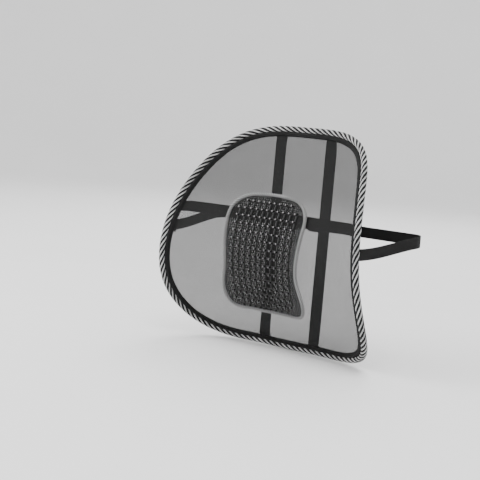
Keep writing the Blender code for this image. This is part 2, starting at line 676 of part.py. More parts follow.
def web_loop(name, inner, outer, finish):
    """Two rails and a bar at their outer end, which webbing goes round."""
    sign = math.copysign(1, outer)
    thin = WEB_BAR_THICKNESS / 2
    ends = sorted((inner - sign * PAST, outer))
    loop = block(name, (ends[0], -BUCKLE_HALF_WIDTH, -thin), (ends[1], BUCKLE_HALF_WIDTH, thin),
                 strap_frame, finish)
    slot = sorted((inner, outer - sign * WEB_BAR))
    tall = thin + PAST
    return hole(loop, (slot[0], -SLOT_HALF_WIDTH, -tall), (slot[1], SLOT_HALF_WIDTH, tall))


def buckle_socket(finish):
    """Female half: a flat box with a stepped cavity, side windows and a bar for the webbing."""
    wide, deep, tall = BUCKLE_HALF_WIDTH, BUCKLE_HALF_DEPTH, CAVITY_HALF_DEPTH
    body = block("buckle_socket", (-SOCKET_SLOT, -wide, -deep), (0, wide, deep), strap_frame, finish)
    hole(body, (-CAVITY_LENGTH, -CAVITY_HALF_WIDTH, -tall), (-BUCKLE_MOUTH, CAVITY_HALF_WIDTH, tall))
    hole(body, (-BUCKLE_MOUTH - PAST, -MOUTH_HALF_WIDTH, -tall), (PAST, MOUTH_HALF_WIDTH, tall))
    hole(body, (-WINDOW_END, -wide - PAST, -tall), (-BUCKLE_MOUTH, wide + PAST, tall))
    combine(body, web_loop("tail", -SOCKET_SLOT, -SOCKET_END, finish), "UNION")


def latch_outline():
    """Fork of the plug: two latches and a guide tongue, from above."""
    tip = -WINDOW_END + LATCH_TIP_GAP
    heel = -(BUCKLE_MOUTH + FIT)
    root = FIT + FORK_ROOT
    outer = MOUTH_HALF_WIDTH - FIT
    inner = outer - LATCH_WIDTH
    barb = outer + LATCH_BARB
    tongue = TONGUE_WIDTH / 2
    upper = [
        (root, outer), (heel, outer), (heel, barb), (heel - LATCH_BARB_LENGTH, barb),
        (tip, outer - LATCH_TIP_TAPER), (tip, inner - ARM_TAPER), (0, inner), (0, tongue),
        (tip + TONGUE_TAPER, tongue), (tip, tongue - TONGUE_TAPER),
    ]
    return upper + [(u, -v) for u, v in upper[::-1]]


def latch_fork(finish):
    tall = CAVITY_HALF_DEPTH - FIT
    return outline_solid("latch_fork", latch_outline(), -tall, tall, strap_frame, finish)


def buckle_plug(finish):
    """Male half's handle: it holds the fork's root in a pocket, and has a bar for the webbing."""
    wide, deep, tall = BUCKLE_HALF_WIDTH, BUCKLE_HALF_DEPTH, CAVITY_HALF_DEPTH
    body = block("buckle_plug", (FIT, -wide, -deep), (PLUG_SLOT, wide, deep), strap_frame, finish)
    hole(body, (-PAST, -MOUTH_HALF_WIDTH, -tall), (FIT + FORK_ROOT + TOUCH, MOUTH_HALF_WIDTH, tall))
    return combine(body, web_loop("tail", PLUG_SLOT, PLUG_END, finish), "UNION")


def strap_slider(finish):
    """Three-bar slider: the strap under the middle bar, the tail over it and under the end bars."""
    half = SLIDER_LENGTH / 2
    wide = SLOT_HALF_WIDTH + SLIDER_RAIL
    low = -LAYER - STRAP_THICKNESS / 2
    clear = LAYER + STRAP_THICKNESS / 2 + WEB_FIT
    high = clear + WEB_BAR_THICKNESS
    left, right = SLIDER_PLACE - half, SLIDER_PLACE + half
    body = block("strap_slider", (left, -wide, low), (right, wide, high), strap_frame, finish)
    hole(body, (left - PAST, -SLOT_HALF_WIDTH, low - PAST), (right + PAST, SLOT_HALF_WIDTH, clear))
    hole(body, (left + WEB_BAR, -SLOT_HALF_WIDTH, 0), (right - WEB_BAR, SLOT_HALF_WIDTH, high + PAST))
    reach = SLOT_HALF_WIDTH + SLIDER_BAR_SINK
    bar = block("bar", (SLIDER_PLACE - WEB_BAR / 2, -reach, -WEB_BAR_THICKNESS / 2),
                (SLIDER_PLACE + WEB_BAR / 2, reach, WEB_BAR_THICKNESS / 2), strap_frame, finish)
    return combine(body, bar, "UNION")


def slides_from(place, *pieces):
    """Put the pieces' origins on the axis that they slide along."""
    for piece in pieces:
        piece.data.transform(Matrix.Translation([-c for c in place]))
        piece.location = place


def main():
    for old in list(bpy.data.objects):
        bpy.data.objects.remove(old)
    steel = material("spring_steel", (0.55, 0.56, 0.58), 0.35, 1.0)
    zinc = material("zinc_sleeve", (0.62, 0.63, 0.65), 0.45, 1.0)
    binding = material("binding_tape", (0.015, 0.015, 0.017), 0.85)
    rope = material("two_tone_rope", (0.30, 0.30, 0.31), 0.7)
    net = material("black_net", (0.018, 0.018, 0.020), 0.8)
    cord = material("grey_cord", (0.36, 0.36, 0.37), 0.7)
    vinyl = material("black_vinyl", (0.020, 0.020, 0.022), 0.3)
    tape = material("black_webbing", (0.020, 0.020, 0.023), 0.8)
    elastic = material("black_elastic", (0.024, 0.024, 0.028), 0.75)
    thread = material("black_thread", (0.020, 0.020, 0.020), 0.6)
    plastic = material("black_acetal", (0.022, 0.022, 0.024), 0.38)

    rail = Rail(RAIL_SHAPE, HALF_WIDTH, HALF_HEIGHT, -HALF_HEIGHT)
    mat = Rail(MAT_SHAPE, MAT_WIDTH / 2, MAT_TOP, MAT_BOTTOM)
    frame_wire(rail, steel)
    wire_ferrule(rail, zinc)
    edge_binding(rail, binding)
    edge_rope(rail, rope)
    mesh_panel(rail, net)
    mat_backing(mat, net)
    massage_mat(vinyl)
    mat_cord(mat, cord)
    for side in (-1, 1):
        back_tape(rail, side, tape, thread)
    cross_tape(rail, tape, thread)
    fold = FOLD_INSET - WEB_BAR
    strap_half(rail, -1, SOCKET_END + fold, STRAP_TAIL, 0.0, elastic, thread)
    strap_half(rail, 1, PLUG_END + fold, SEWN_FOLD, FOLD_DROP, elastic, thread)
    buckle_socket(plastic)
    slides_from(strap_frame(0, 0, 0), buckle_plug(plastic), latch_fork(plastic))
    slides_from(strap_frame(SLIDER_PLACE, 0, 0), strap_slider(plastic))


main()
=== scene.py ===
"""Looks of a bowed mesh lumbar support: twisted edge rope, net, massage mat, tapes, strap and buckle.

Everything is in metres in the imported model's frame: +Z up, -Y towards the sitter, +X the viewer's right.
All sewn pieces lie on one bowed surface. A place on a rail has an arc length, an inward offset along the
surface and a forward offset along its normal, as in the model's own source.
"""
import math

import bmesh
import bpy
import numpy as np
from mathutils import Matrix, Vector


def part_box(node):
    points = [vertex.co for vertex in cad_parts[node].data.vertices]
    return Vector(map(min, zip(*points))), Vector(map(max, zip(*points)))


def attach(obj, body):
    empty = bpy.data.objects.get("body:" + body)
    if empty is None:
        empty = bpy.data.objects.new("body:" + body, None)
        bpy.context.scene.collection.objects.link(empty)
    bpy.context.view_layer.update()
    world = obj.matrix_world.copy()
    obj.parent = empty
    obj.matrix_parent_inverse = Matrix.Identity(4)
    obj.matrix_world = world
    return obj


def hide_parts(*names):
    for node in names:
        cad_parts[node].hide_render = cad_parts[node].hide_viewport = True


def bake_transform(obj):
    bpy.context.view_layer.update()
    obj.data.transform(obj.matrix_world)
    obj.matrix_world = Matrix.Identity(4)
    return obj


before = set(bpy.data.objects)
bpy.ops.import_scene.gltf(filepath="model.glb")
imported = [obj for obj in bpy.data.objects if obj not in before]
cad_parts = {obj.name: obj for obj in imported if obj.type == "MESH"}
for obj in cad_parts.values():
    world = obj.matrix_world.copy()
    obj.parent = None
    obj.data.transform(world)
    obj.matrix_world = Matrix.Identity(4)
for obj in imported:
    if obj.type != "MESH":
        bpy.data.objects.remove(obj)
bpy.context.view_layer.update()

# Sizes shared with the model, in metres unless a comment says otherwise
HALF_HEIGHT = 0.400 / 2
HALF_WIDTH = 0.4556 / 2
BOW_DEPTH, BOW_LEAN, BOW_FULLNESS, SIDE_WRAP = 0.108, -0.213, 0.074, 0.0197
RAIL_SHAPE = [
    (0.000, 1.000), (0.316, 0.990), (0.536, 0.930), (0.702, 0.795), (0.830, 0.545), (0.931, 0.185),
    (0.992, -0.275), (0.9855, -0.600), (0.882, -0.845), (0.658, -0.970), (0.316, -0.9885), (0.000, -0.994),
]
MAT_HALF_WIDTH, MAT_TOP, MAT_BOTTOM = 0.090, 0.082, -0.1275
MAT_SHAPE = [
    (0.000, 1.000), (0.456, 0.981), (0.767, 0.895), (0.956, 0.695), (0.967, 0.409), (0.933, 0.074),
    (0.917, -0.279), (0.989, -0.575), (1.000, -0.833), (0.856, -0.990), (0.556, -1.010), (0.000, -1.000),
]
ROPE_RADIUS = 0.0115 / 2
MAT_CORD_RADIUS = 0.0060 / 2
WIRE_INWARD = 0.00894       # the wire's centre, from the rope's
BINDING_INNER, BINDING_OUTER = 0.0034, 0.0042
BINDING_LEG, RIM = 0.0060, 0.0004  # how far the legs reach inwards, and the rounding of their edges
NET_FORWARD = -0.0034
NET_HALF = 0.0004           # half its thickness
HEM_GAP = 0.0004            # between the net's hem and each leg of the binding
SEW, ANCHOR, TOUCH, QUILT = 0.0006, 0.0014, 0.0003, 0.0009  # gaps: sewn, anchored, touching, quilted
NET_EDGE = WIRE_INWARD + BINDING_INNER + TOUCH
MAT_CORD_FORWARD = NET_FORWARD + NET_HALF + TOUCH + MAT_CORD_RADIUS
BACKING_HALF, LATTICE_THICKNESS = 0.0003, 0.0015
BACKING_FORWARD = NET_FORWARD + NET_HALF + QUILT + BACKING_HALF
LATTICE_BACK = BACKING_FORWARD + BACKING_HALF + TOUCH
LATTICE_FRONT = LATTICE_BACK + LATTICE_THICKNESS
NUB_LENGTH, NUB_BASE = 0.0060, 0.0040
NUB_ROWS, NUB_SIDE_COLUMNS, NUB_END_SIDE_COLUMNS = 15, 5, 4
NUB_TOP_MARGIN, NUB_BOTTOM_MARGIN = 0.0152, 0.0069  # from the mat cord's ends to the end rows
NUB_COLUMN_PITCH, NUB_COLUMN_SPREAD = 0.0116, 0.00028
BINDING_BACK = NET_FORWARD - BINDING_OUTER * math.sin(math.pi / 3)
TAPE_THICKNESS, TAPE_WIDTH, TAPE_SPACING = 0.0010, 0.025, 0.116
TAPE_LAP_OUT, TAPE_LAP_IN, TAPE_EASE = 0.0025, 0.0035, 0.012
CROSS_TAPE_WIDTH, CROSS_TAPE_HEIGHT, CROSS_LEAVE, CROSS_LAND = 0.020, 0.045, 0.004, 0.020
STRAP_WIDTH, STRAP_THICKNESS = 0.020, 0.0012
STRAP_HEIGHT, STRAP_REAR_HEIGHT, STRAP_SPAN, STRAP_DEPTH = 0.0065, 0.025, 0.480, 0.058
STRAP_CORNER, STRAP_BEND, STRAP_LAP_IN, STRAP_LAP_OUT = 0.030, 0.005, 0.0080, 0.0045
STRAP_TACK = 0.0055

# Sizes of the looks alone
HEM_RIPPLE, RIPPLE_LENGTH = 0.00015, 0.012  # how far the net's hem lifts, and over what length
BINDING_STITCH, MAT_STITCH = (0.0027, 0.0034, 0.00020), (0.0024, 0.0032, 0.00018)  # length, pitch, radius
BINDING_SEAM, MAT_SEAM = 0.0046, 0.0024  # inward of the wire's centre, and of the cord's edge
TACK_THREAD, TACK_LENGTH, TACK_MARGIN = 0.00022, 0.0030, 0.0025
ON_TOP = 0.0001             # how far thread stands off the cloth that it is sewn to
BOX_STITCH = (0.0266, 0.0346, 0.0076)  # its two ends from the buckle's mouth, and half its width
BOX_STITCH_PITCH = 0.0024
FINE = 4800                 # points along a rail, or along the bow
STRAP_STEP = 0.004          # longest step along the strap's plan
SIDE_RUN, END_RUN = (0.16, 0.38), 0.16  # a rail's right side, and the reach of its ends, in shares of it
BOW_REACH = 1.1 * HALF_HEIGHT
BAR_SIDE = 0.0004           # height of a bar's upright sides, under its crown
TUBE_FACE, BAR_FACE = 0.0006, 0.0030  # texture size of a face round a thread, and along a bar
TAU = 2 * math.pi


def unit(vectors):
    return vectors / np.linalg.norm(vectors, axis=-1, keepdims=True)


def turns_of(count):
    """Angles of this many equal steps round a circle."""
    return np.arange(count) * TAU / count


def ring_round(count, side, up):
    """Unit circles of this many points round each row, in the plane of its side and up directions."""
    turn = turns_of(count)
    return np.cos(turn)[None, :, None] * side[:, None] + np.sin(turn)[None, :, None] * up[:, None]


def eased(t):
    """Smooth step: level at 0 and at 1."""
    return t * t * (3 - 2 * t)


# The bowed surface and its rails

def surface(x, z):
    """Quartic arch over the height, plus a parabola over the width, standing forward of the chord."""
    s = z / HALF_HEIGHT
    arch = BOW_DEPTH * (1 - s**2) * (1 + BOW_LEAN * s + BOW_FULLNESS * s**2)
    return np.stack([x, -arch - SIDE_WRAP * (x / HALF_WIDTH) ** 2, z], axis=-1)


def forward_normal(x, z):
    """Unit normal of the surface, towards the sitter: the cross product of its two slopes."""
    s = z / HALF_HEIGHT
    swell = 1 + BOW_LEAN * s + BOW_FULLNESS * s**2
    rise = -2 * s * swell + (1 - s**2) * (BOW_LEAN + 2 * BOW_FULLNESS * s)
    across = -2 * SIDE_WRAP * x / HALF_WIDTH**2
    along = -BOW_DEPTH * rise / HALF_HEIGHT
    normal = np.stack([across, -np.ones_like(across), along], axis=-1)
    return unit(normal)


def on_surface(x, z, forward):
    """Point of the surface at x and z, moved along the normal."""
    x, z, forward = np.broadcast_arrays(*(np.asarray(v, float) for v in (x, z, forward)))
    return surface(x, z) + forward[..., None] * forward_normal(x, z)


def closed_spline(knots, count):
    """Periodic cubic spline through the knots, spaced by the square root of their distances."""
    n = len(knots)
    row = np.arange(n)
    after = np.roll(knots, -1, axis=0)
    step = np.linalg.norm(after - knots, axis=1) ** 0.5
    slope = (after - knots) / step[:, None]
    matrix = np.zeros((n, n))
    matrix[row, row] = 2 * (step + np.roll(step, 1))
    matrix[row, row - 1] = np.roll(step, 1)
    matrix[row, (row + 1) % n] = step
    bend = np.linalg.solve(matrix, 6 * (slope - np.roll(slope, 1, axis=0)))
    ends = np.concatenate([[0], np.cumsum(step)])
    at = np.linspace(0, ends[-1], count, endpoint=False)
    span = np.clip(np.searchsorted(ends, at, side="right") - 1, 0, n - 1)
    h = step[span][:, None]
    b = (at - ends[span])[:, None]
    a = h - b
    bend_after = np.roll(bend, -1, axis=0)
    curve = bend[span] * a**3 / (6 * h) + bend_after[span] * b**3 / (6 * h)
    curve += (knots[span] / h - bend[span] * h / 6) * a
    return curve + (after[span] / h - bend_after[span] * h / 6) * b


class Rail:
    """A closed line on the surface, measured by arc length from its lowest point towards +X."""

    def __init__(self, shape, half_width, top, bottom):
        middle, half = (top + bottom) / 2, (top - bottom) / 2
        right = np.array(shape[::-1]) * [half_width, half] + [0, middle]
        left = right[-2:0:-1] * [-1, 1]
        line = closed_spline(np.concatenate([right, left]), FINE)
        points = surface(line[:, 0], line[:, 1])
        after = np.roll(points, -1, axis=0)
        self.arc = np.concatenate([[0], np.cumsum(np.linalg.norm(after - points, axis=1))])
        self.length = self.arc[-1]
        self.line = np.concatenate([line, line[:1]])
        tangent = after - np.roll(points, 1, axis=0)
        inward = unit(np.cross(forward_normal(line[:, 0], line[:, 1]), tangent))[:, [0, 2]]
        self.inward = np.concatenate([inward, inward[:1]])

    def read(self, values, arc):
        arc = np.asarray(arc, float) % self.length
        return np.stack([np.interp(arc, self.arc, values[:, k]) for k in (0, 1)], axis=-1)

    def place(self, arc, inward, forward):
        """World points at these rail coordinates: inward over the surface, then forward off it."""
        inward = np.asarray(inward, float)
        at = self.read(self.line, arc) + inward[..., None] * self.read(self.inward, arc)
        return on_surface(at[..., 0], at[..., 1], forward)

    def arc_at_x(self, x, top):
        reach = self.length * END_RUN
        middle = self.length / 2 if top else 0.0
        run = middle + np.linspace(-reach, reach, FINE)
        across = self.read(self.line, run)[:, 0]
        order = np.argsort(across)
        return np.interp(x, across[order], run[order])

    def arc_at_height(self, z, side):
        run = np.linspace(*SIDE_RUN, FINE) * self.length
        arc = np.interp(z, self.read(self.line, run)[:, 1], run)
        return arc if side > 0 else self.length - arc


def bow_length(z):
    """Length along the bow on the middle line, from the frame's middle up to height z."""
    heights = np.linspace(-BOW_REACH, BOW_REACH, FINE)
    steps = np.linalg.norm(np.diff(surface(np.zeros(FINE), heights), axis=0), axis=1)
    run = np.concatenate([[0], np.cumsum(steps)])
    return np.interp(z, heights, run) - np.interp(0, heights, run)


def height_at_length(length):
    heights = np.linspace(-BOW_REACH, BOW_REACH, FINE)
    return np.interp(length, bow_length(heights), heights)


# Mesh building: every shape is a grid of points or a stack of them

class Shape:
    """Points, faces, their texture coordinates in metres and their material numbers, gathered as arrays."""

    def __init__(self):
        self.points, self.faces, self.coords, self.slots, self.size = [], [], [], [], 0

    def grid(self, points, u, v, wrap=(False, False), slots=0, caps=False):
        """A grid of points skinned with quads: it may wrap either way, and a tube may be capped."""
        rows, columns = points.shape[:2]
        i, j = np.meshgrid(np.arange(rows - (not wrap[0])), np.arange(columns - (not wrap[1])), indexing="ij")
        corners = [(i, j), (i + 1, j), (i + 1, j + 1), (i, j + 1)]
        quads = np.stack([(a % rows) * columns + b % columns for a, b in corners], axis=-1).reshape(-1, 4)
        u, v = np.broadcast_arrays(np.asarray(u, float), np.asarray(v, float))
        coords = np.stack([np.stack([u[a, b], v[a, b]], axis=-1) for a, b in corners], axis=-2)
        slots_here = np.broadcast_to(slots, i.shape).ravel()
        self.add(points.reshape(-1, 3), quads, coords.reshape(-1, 4, 2), slots_here)
        if caps:
            first = self.size - rows * columns
            for row, turn in ((0, 1), (rows - 1, -1)):
                ring = first + row * columns + np.arange(columns)[::turn]
                self.fan(ring, points[row].mean(axis=0), slots if np.ndim(slots) == 0 else 0)

    def fan(self, ring, middle, slot):
        """Close a ring of points with a fan round its middle."""
        centre = self.size
        self.points.append(middle[None])
        self.size += 1
        faces = np.stack([ring, np.roll(ring, -1), np.full(len(ring), centre)], axis=1)
        self.faces.append(faces)
        self.coords.append(np.zeros((len(ring), 3, 2)))
        self.slots.append(np.full(len(ring), slot))

    def tubes(self, points, slot=0):
        """Many equal capped tubes at once: points has one row of rings for each tube."""
        count, rows, columns = points.shape[:3]
        i, j = np.meshgrid(np.arange(rows - 1), np.arange(columns), indexing="ij")
        k = (j + 1) % columns
        quads = np.stack([i * columns + j, (i + 1) * columns + j, (i + 1) * columns + k, i * columns + k], -1)
        first = np.arange(count)[:, None, None] * rows * columns
        quads = (first + quads.reshape(1, -1, 4)).reshape(-1, 4)
        corners = ((i, j), (i + 1, j), (i + 1, j + 1), (i, j + 1))
        place = np.stack([np.stack(corner, -1) for corner in corners], -2)
        place = np.broadcast_to(place.reshape(1, -1, 4, 2) * TUBE_FACE, (count, len(quads) // count, 4, 2))
        self.add(points.reshape(-1, 3), quads, place.reshape(-1, 4, 2), np.full(len(quads), slot))
        base = self.size - count * rows * columns
        for ring in (np.arange(columns), ((rows - 1) * columns + np.arange(columns))[::-1]):
            caps = np.arange(count)[:, None] * rows * columns + ring[None] + base
            self.faces.append(caps)
            self.coords.append(np.zeros((count, columns, 2)))
            self.slots.append(np.full(count, slot))

    def add(self, points, faces, coords, slots):
        self.faces.append(faces + self.size)
        self.points.append(points)
        self.coords.append(coords)
        self.slots.append(slots)
        self.size += len(points)

    def build(self, name, materials, sharp=None):
        """Blender object at the origin, with its places in its mesh."""
        mesh = bpy.data.meshes.new(name)
        points = np.concatenate(self.points)
        sizes = np.concatenate([np.full(len(f), f.shape[1]) for f in self.faces])
        corners = np.concatenate([f.ravel() for f in self.faces])
        mesh.vertices.add(len(points))
        mesh.vertices.foreach_set("co", points.astype(np.float32).ravel())
        mesh.loops.add(len(corners))
        mesh.loops.foreach_set("vertex_index", corners.astype(np.int32))
        mesh.polygons.add(len(sizes))
        mesh.polygons.foreach_set("loop_start", (np.cumsum(sizes) - sizes).astype(np.int32))
        mesh.polygons.foreach_set("material_index", np.concatenate(self.slots).astype(np.int32))
        layer = mesh.uv_layers.new(name="metres")
        coords = np.concatenate([c.reshape(-1, 2) for c in self.coords])
        layer.data.foreach_set("uv", coords.astype(np.float32).ravel())
        mesh.update(calc_edges=True)
        mesh.validate()
        mesh.shade_smooth()
        if sharp:
            mesh.set_sharp_from_angle(angle=math.radians(sharp))
        for material in materials:
            mesh.materials.append(material)
        made = bpy.data.objects.new(name, mesh)
        bpy.context.scene.collection.objects.link(made)
        return made


def finish_piece(piece, body, slot, *nodes):
    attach(piece, body)
    if nodes:
        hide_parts(*nodes)


def running_length(points):
    return np.concatenate([[0], np.cumsum(np.linalg.norm(np.diff(points, axis=0), axis=1))])


# Shader building

class Graph:
    """Adds nodes to a tree: each call returns the output socket to use next."""

    def __init__(self, tree):
        self.tree = tree

    def node(self, kind, inputs=(), **settings):
        made = self.tree.nodes.new(kind)
        for key, value in settings.items():
            setattr(made, key, value)
        for key, value in dict(inputs).items():
            self.put(made.inputs[key], value)
        return made

    def put(self, socket, value):
        if isinstance(value, bpy.types.NodeSocket):
            self.tree.links.new(value, socket)
        else:
            socket.default_value = value

    def math(self, operation, a, b=0.0, c=0.0, clamp=False):
        made = self.node("ShaderNodeMath", {0: a, 1: b, 2: c}, operation=operation, use_clamp=clamp)
        return made.outputs[0]

    def vector(self, operation, a, b=(0, 0, 0), c=(0, 0, 0), scale=1.0):
        made = self.node("ShaderNodeVectorMath", {0: a, 1: b, 2: c, 3: scale}, operation=operation)
        return made.outputs["Value" if operation in ("LENGTH", "DOT_PRODUCT") else "Vector"]

    def split(self, vector):
        return self.node("ShaderNodeSeparateXYZ", {0: vector}).outputs

    def join(self, x, y, z=0.0):
        return self.node("ShaderNodeCombineXYZ", {0: x, 1: y, 2: z}).outputs[0]

    def noise(self, vector, scale, detail=2.0, rough=0.5):
        made = self.node("ShaderNodeTexNoise", {"Vector": vector, "Scale": scale, "Detail": detail,
                                                "Roughness": rough})
        return made.outputs["Fac"]

    def span(self, value, low, high, to_low=0.0, to_high=1.0, smooth=True):
        kind = "SMOOTHSTEP" if smooth else "LINEAR"
        made = self.node("ShaderNodeMapRange", {"Value": value, "From Min": low, "From Max": high,
                                                "To Min": to_low, "To Max": to_high}, interpolation_type=kind)
        return made.outputs["Result"]

    def mix(self, factor, a, b):
        made = self.node("ShaderNodeMix", data_type="RGBA")
        for key, value in ((0, factor), (6, a), (7, b)):
            self.put(made.inputs[key], value)
        return made.outputs[2]

    def blend(self, factor, a, b):
        made = self.node("ShaderNodeMix", data_type="FLOAT")
        for key, value in ((0, factor), (2, a), (3, b)):
            self.put(made.inputs[key], value)
        return made.outputs[0]

    def millimetres(self):
        """The piece's own flat coordinates, in millimetres."""
        place = self.node("ShaderNodeUVMap", uv_map="metres").outputs["UV"]
        return self.vector("SCALE", place, scale=1000.0)

    def object_millimetres(self):
        place = self.node("ShaderNodeTexCoord").outputs["Object"]
        return self.vector("SCALE", place, scale=1000.0)

    def bump(self, height, distance, strength=1.0):
        made = self.node("ShaderNodeBump", {"Strength": strength, "Distance": distance, "Height": height})
        return made.outputs["Normal"]

    def use(self, group, **inputs):
        made = self.node("ShaderNodeGroup")
        made.node_tree = group
        for key, value in inputs.items():
            self.put(made.inputs[key.replace("_", " ")], value)
        return made.outputs


def effect(name, inputs, outputs):
    """Empty node group with named inputs and outputs: its graph, its inputs' sockets and its output node."""
    tree = bpy.data.node_groups.new(name, "ShaderNodeTree")
    for label, kind, default in inputs:
        socket = tree.interface.new_socket(label, in_out="INPUT", socket_type=kind)
        if default is not None:
            socket.default_value = default
    for label in outputs:
        tree.interface.new_socket(label, in_out="OUTPUT", socket_type="NodeSocketFloat")
    graph = Graph(tree)
    return tree, graph, graph.node("NodeGroupInput").outputs, graph.node("NodeGroupOutput")


FLOAT, VECTOR = "NodeSocketFloat", "NodeSocketVector"


def spun_fibre():
    """Twisted yarn: streaks along sheared coordinates, and soft lumps where its plies turn over; the tone is
    also darker in the valleys between plies, which is painted shade.
    """
    tree, g, given, out = effect("spun fibre", [
        ("Place", VECTOR, None), ("Slant", FLOAT, 0.5), ("Fibre", FLOAT, 0.2), ("Ply", FLOAT, 1.6)],
        ("Height", "Tone"))
    x, y, _ = g.split(given["Place"])
    across = g.math("ADD", y, g.math("MULTIPLY", x, given["Slant"]))
    fine = g.noise(g.join(g.math("MULTIPLY", x, 0.35), g.math("DIVIDE", across, given["Fibre"])), 1.0, 3.0)
    loose = g.noise(g.join(x, y), 0.35, 2.0)
    turn = g.math("DIVIDE", g.math("MULTIPLY", across, TAU), given["Ply"])
    ply_lumps_and_valley_shade = g.math("MULTIPLY_ADD", g.math("SINE", turn), 0.5, 0.5)
    height = g.math("ADD", g.math("MULTIPLY", fine, 0.5), g.math("MULTIPLY", ply_lumps_and_valley_shade, 0.6))
    g.put(out.inputs["Height"], height)
    # Tone: fibre streaks, plus painted shade that darkens the valleys between plies
    tone = g.math("MULTIPLY_ADD", ply_lumps_and_valley_shade, 0.35, g.math("MULTIPLY", fine, 0.5))
    g.put(out.inputs["Tone"], g.math("MULTIPLY_ADD", loose, 0.2, tone, clamp=True))
    return tree


def plain_weave():
    """Warp and weft pass over each other like a chessboard: each yarn is a row of cosine arches."""
    tree, g, given, out = effect("plain weave", [
        ("Place", VECTOR, None), ("Warp", FLOAT, 0.6), ("Weft", FLOAT, 0.6)], ("Height", "Over", "Tone"))
    x, y, _ = g.split(given["Place"])
    along, across = g.math("DIVIDE", x, given["Weft"]), g.math("DIVIDE", y, given["Warp"])
    cell = g.math("ADD", g.math("FLOOR", along), g.math("FLOOR", across))
    over = g.math("MODULO", g.math("ABSOLUTE", cell), 2.0)
    arch_warp = g.math("ABSOLUTE", g.math("SINE", g.math("MULTIPLY", across, math.pi)))
    arch_weft = g.math("ABSOLUTE", g.math("SINE", g.math("MULTIPLY", along, math.pi)))
    body = g.math("MULTIPLY", arch_warp, arch_weft)
    edge = g.blend(over, arch_weft, arch_warp)
    fuzz = g.noise(g.join(x, y), 4.0, 3.0)
    height = g.math("ADD", g.math("MULTIPLY", body, 0.6), g.math("MULTIPLY", edge, 0.4))
    g.put(out.inputs["Height"], g.math("ADD", height, g.math("MULTIPLY", fuzz, 0.2)))
    g.put(out.inputs["Over"], over)
    g.put(out.inputs["Tone"], fuzz)
    return tree


def ribbed_knit():
    """Covered rubber runs in ribs along the band, held by finer picks across it; the tone is lighter on their
    crowns and darker in the grooves between them, as painted shade.
    """
    tree, g, given, out = effect("ribbed knit", [
        ("Place", VECTOR, None), ("Rib", FLOAT, 1.1), ("Pick", FLOAT, 0.55)], ("Height", "Tone"))
    x, y, _ = g.split(given["Place"])
    rib = g.math("ABSOLUTE", g.math("SINE", g.math("DIVIDE", g.math("MULTIPLY", y, math.pi), given["Rib"])))
    shift = g.math("MULTIPLY", g.math("MODULO", g.math("FLOOR", g.math("DIVIDE", y, given["Rib"])), 2.0), 0.5)
    step = g.math("ADD", g.math("DIVIDE", x, given["Pick"]), shift)
    pick = g.math("ABSOLUTE", g.math("SINE", g.math("MULTIPLY", step, math.pi)))
    fuzz = g.noise(g.join(x, y), 3.0, 3.0)
    height = g.math("ADD", g.math("MULTIPLY", rib, 0.65), g.math("MULTIPLY", pick, 0.3))
    g.put(out.inputs["Height"], g.math("ADD", height, g.math("MULTIPLY", fuzz, 0.15)))
    # Tone: painted shade, darkest in the grooves between ribs and picks, with random fuzz
    g.put(out.inputs["Tone"], g.math("MULTIPLY", g.math("MULTIPLY", rib, pick), fuzz))
    return tree


def honeycomb_net():
    """Threads on the edges of six-sided cells: the nearest of two staggered lattices of centres gives the
    cell, and the larger of the offsets across its three pairs of sides says how near the edge is."""
    tree, g, given, out = effect("honeycomb net", [
        ("Place", VECTOR, None), ("Cell", FLOAT, 1.8), ("Thread", FLOAT, 0.3)], ("Mask", "Height"))
    wobble = g.node("ShaderNodeTexNoise", {"Vector": given["Place"], "Scale": 0.25, "Detail": 1.0})
    drift = g.vector("SCALE", g.vector("SUBTRACT", wobble.outputs["Color"], (0.5, 0.5, 0.5)), scale=0.5)
    place = g.vector("ADD", given["Place"], drift)
    inverse = g.math("DIVIDE", 1.0, given["Cell"])
    scaled = g.node("ShaderNodeVectorMath", {0: place, 3: inverse}, operation="SCALE").outputs[0]
    tall = math.sqrt(3) / 2
    first = g.vector("WRAP", scaled, (0.5, tall, 1), (-0.5, -tall, -1))
    second = g.vector("WRAP", g.vector("ADD", scaled, (0.5, tall, 0)), (0.5, tall, 1), (-0.5, -tall, -1))
    nearer = g.math("LESS_THAN", g.vector("LENGTH", g.vector("MULTIPLY", second, (1, 1, 0))),
                    g.vector("LENGTH", g.vector("MULTIPLY", first, (1, 1, 0))))
    chosen = g.node("ShaderNodeMix", data_type="VECTOR")
    for key, value in ((0, nearer), (4, first), (5, second)):
        g.put(chosen.inputs[key], value)
    x, y, _ = g.split(g.vector("ABSOLUTE", chosen.outputs[1]))
    slanted = g.math("ADD", g.math("MULTIPLY", x, 0.5), g.math("MULTIPLY", y, tall))
    reach = g.math("SUBTRACT", 0.5, g.math("MAXIMUM", x, slanted))
    half = g.math("MULTIPLY", g.math("MULTIPLY", given["Thread"], inverse), 0.5)
    share = g.math("DIVIDE", reach, half)
    g.put(out.inputs["Mask"], g.span(share, 1.15, 0.85))
    g.put(out.inputs["Height"], g.math("SQRT", g.math("SUBTRACT", 1.0, g.math("MULTIPLY", share, share),
                                                      clamp=True)))
    return tree


def handled():
    """Soft patches of wear and specks of dust, from two scales of noise."""
    tree, g, given, out = effect("handled", [("Place", VECTOR, None)], ("Patch", "Speck"))
    patch = g.noise(given["Place"], 0.02, 3.0)
    speck = g.noise(given["Place"], 1.3, 2.0, 0.7)
    g.put(out.inputs["Patch"], g.span(patch, 0.35, 0.65))
    g.put(out.inputs["Speck"], g.span(speck, 0.66, 0.80))
    return tree


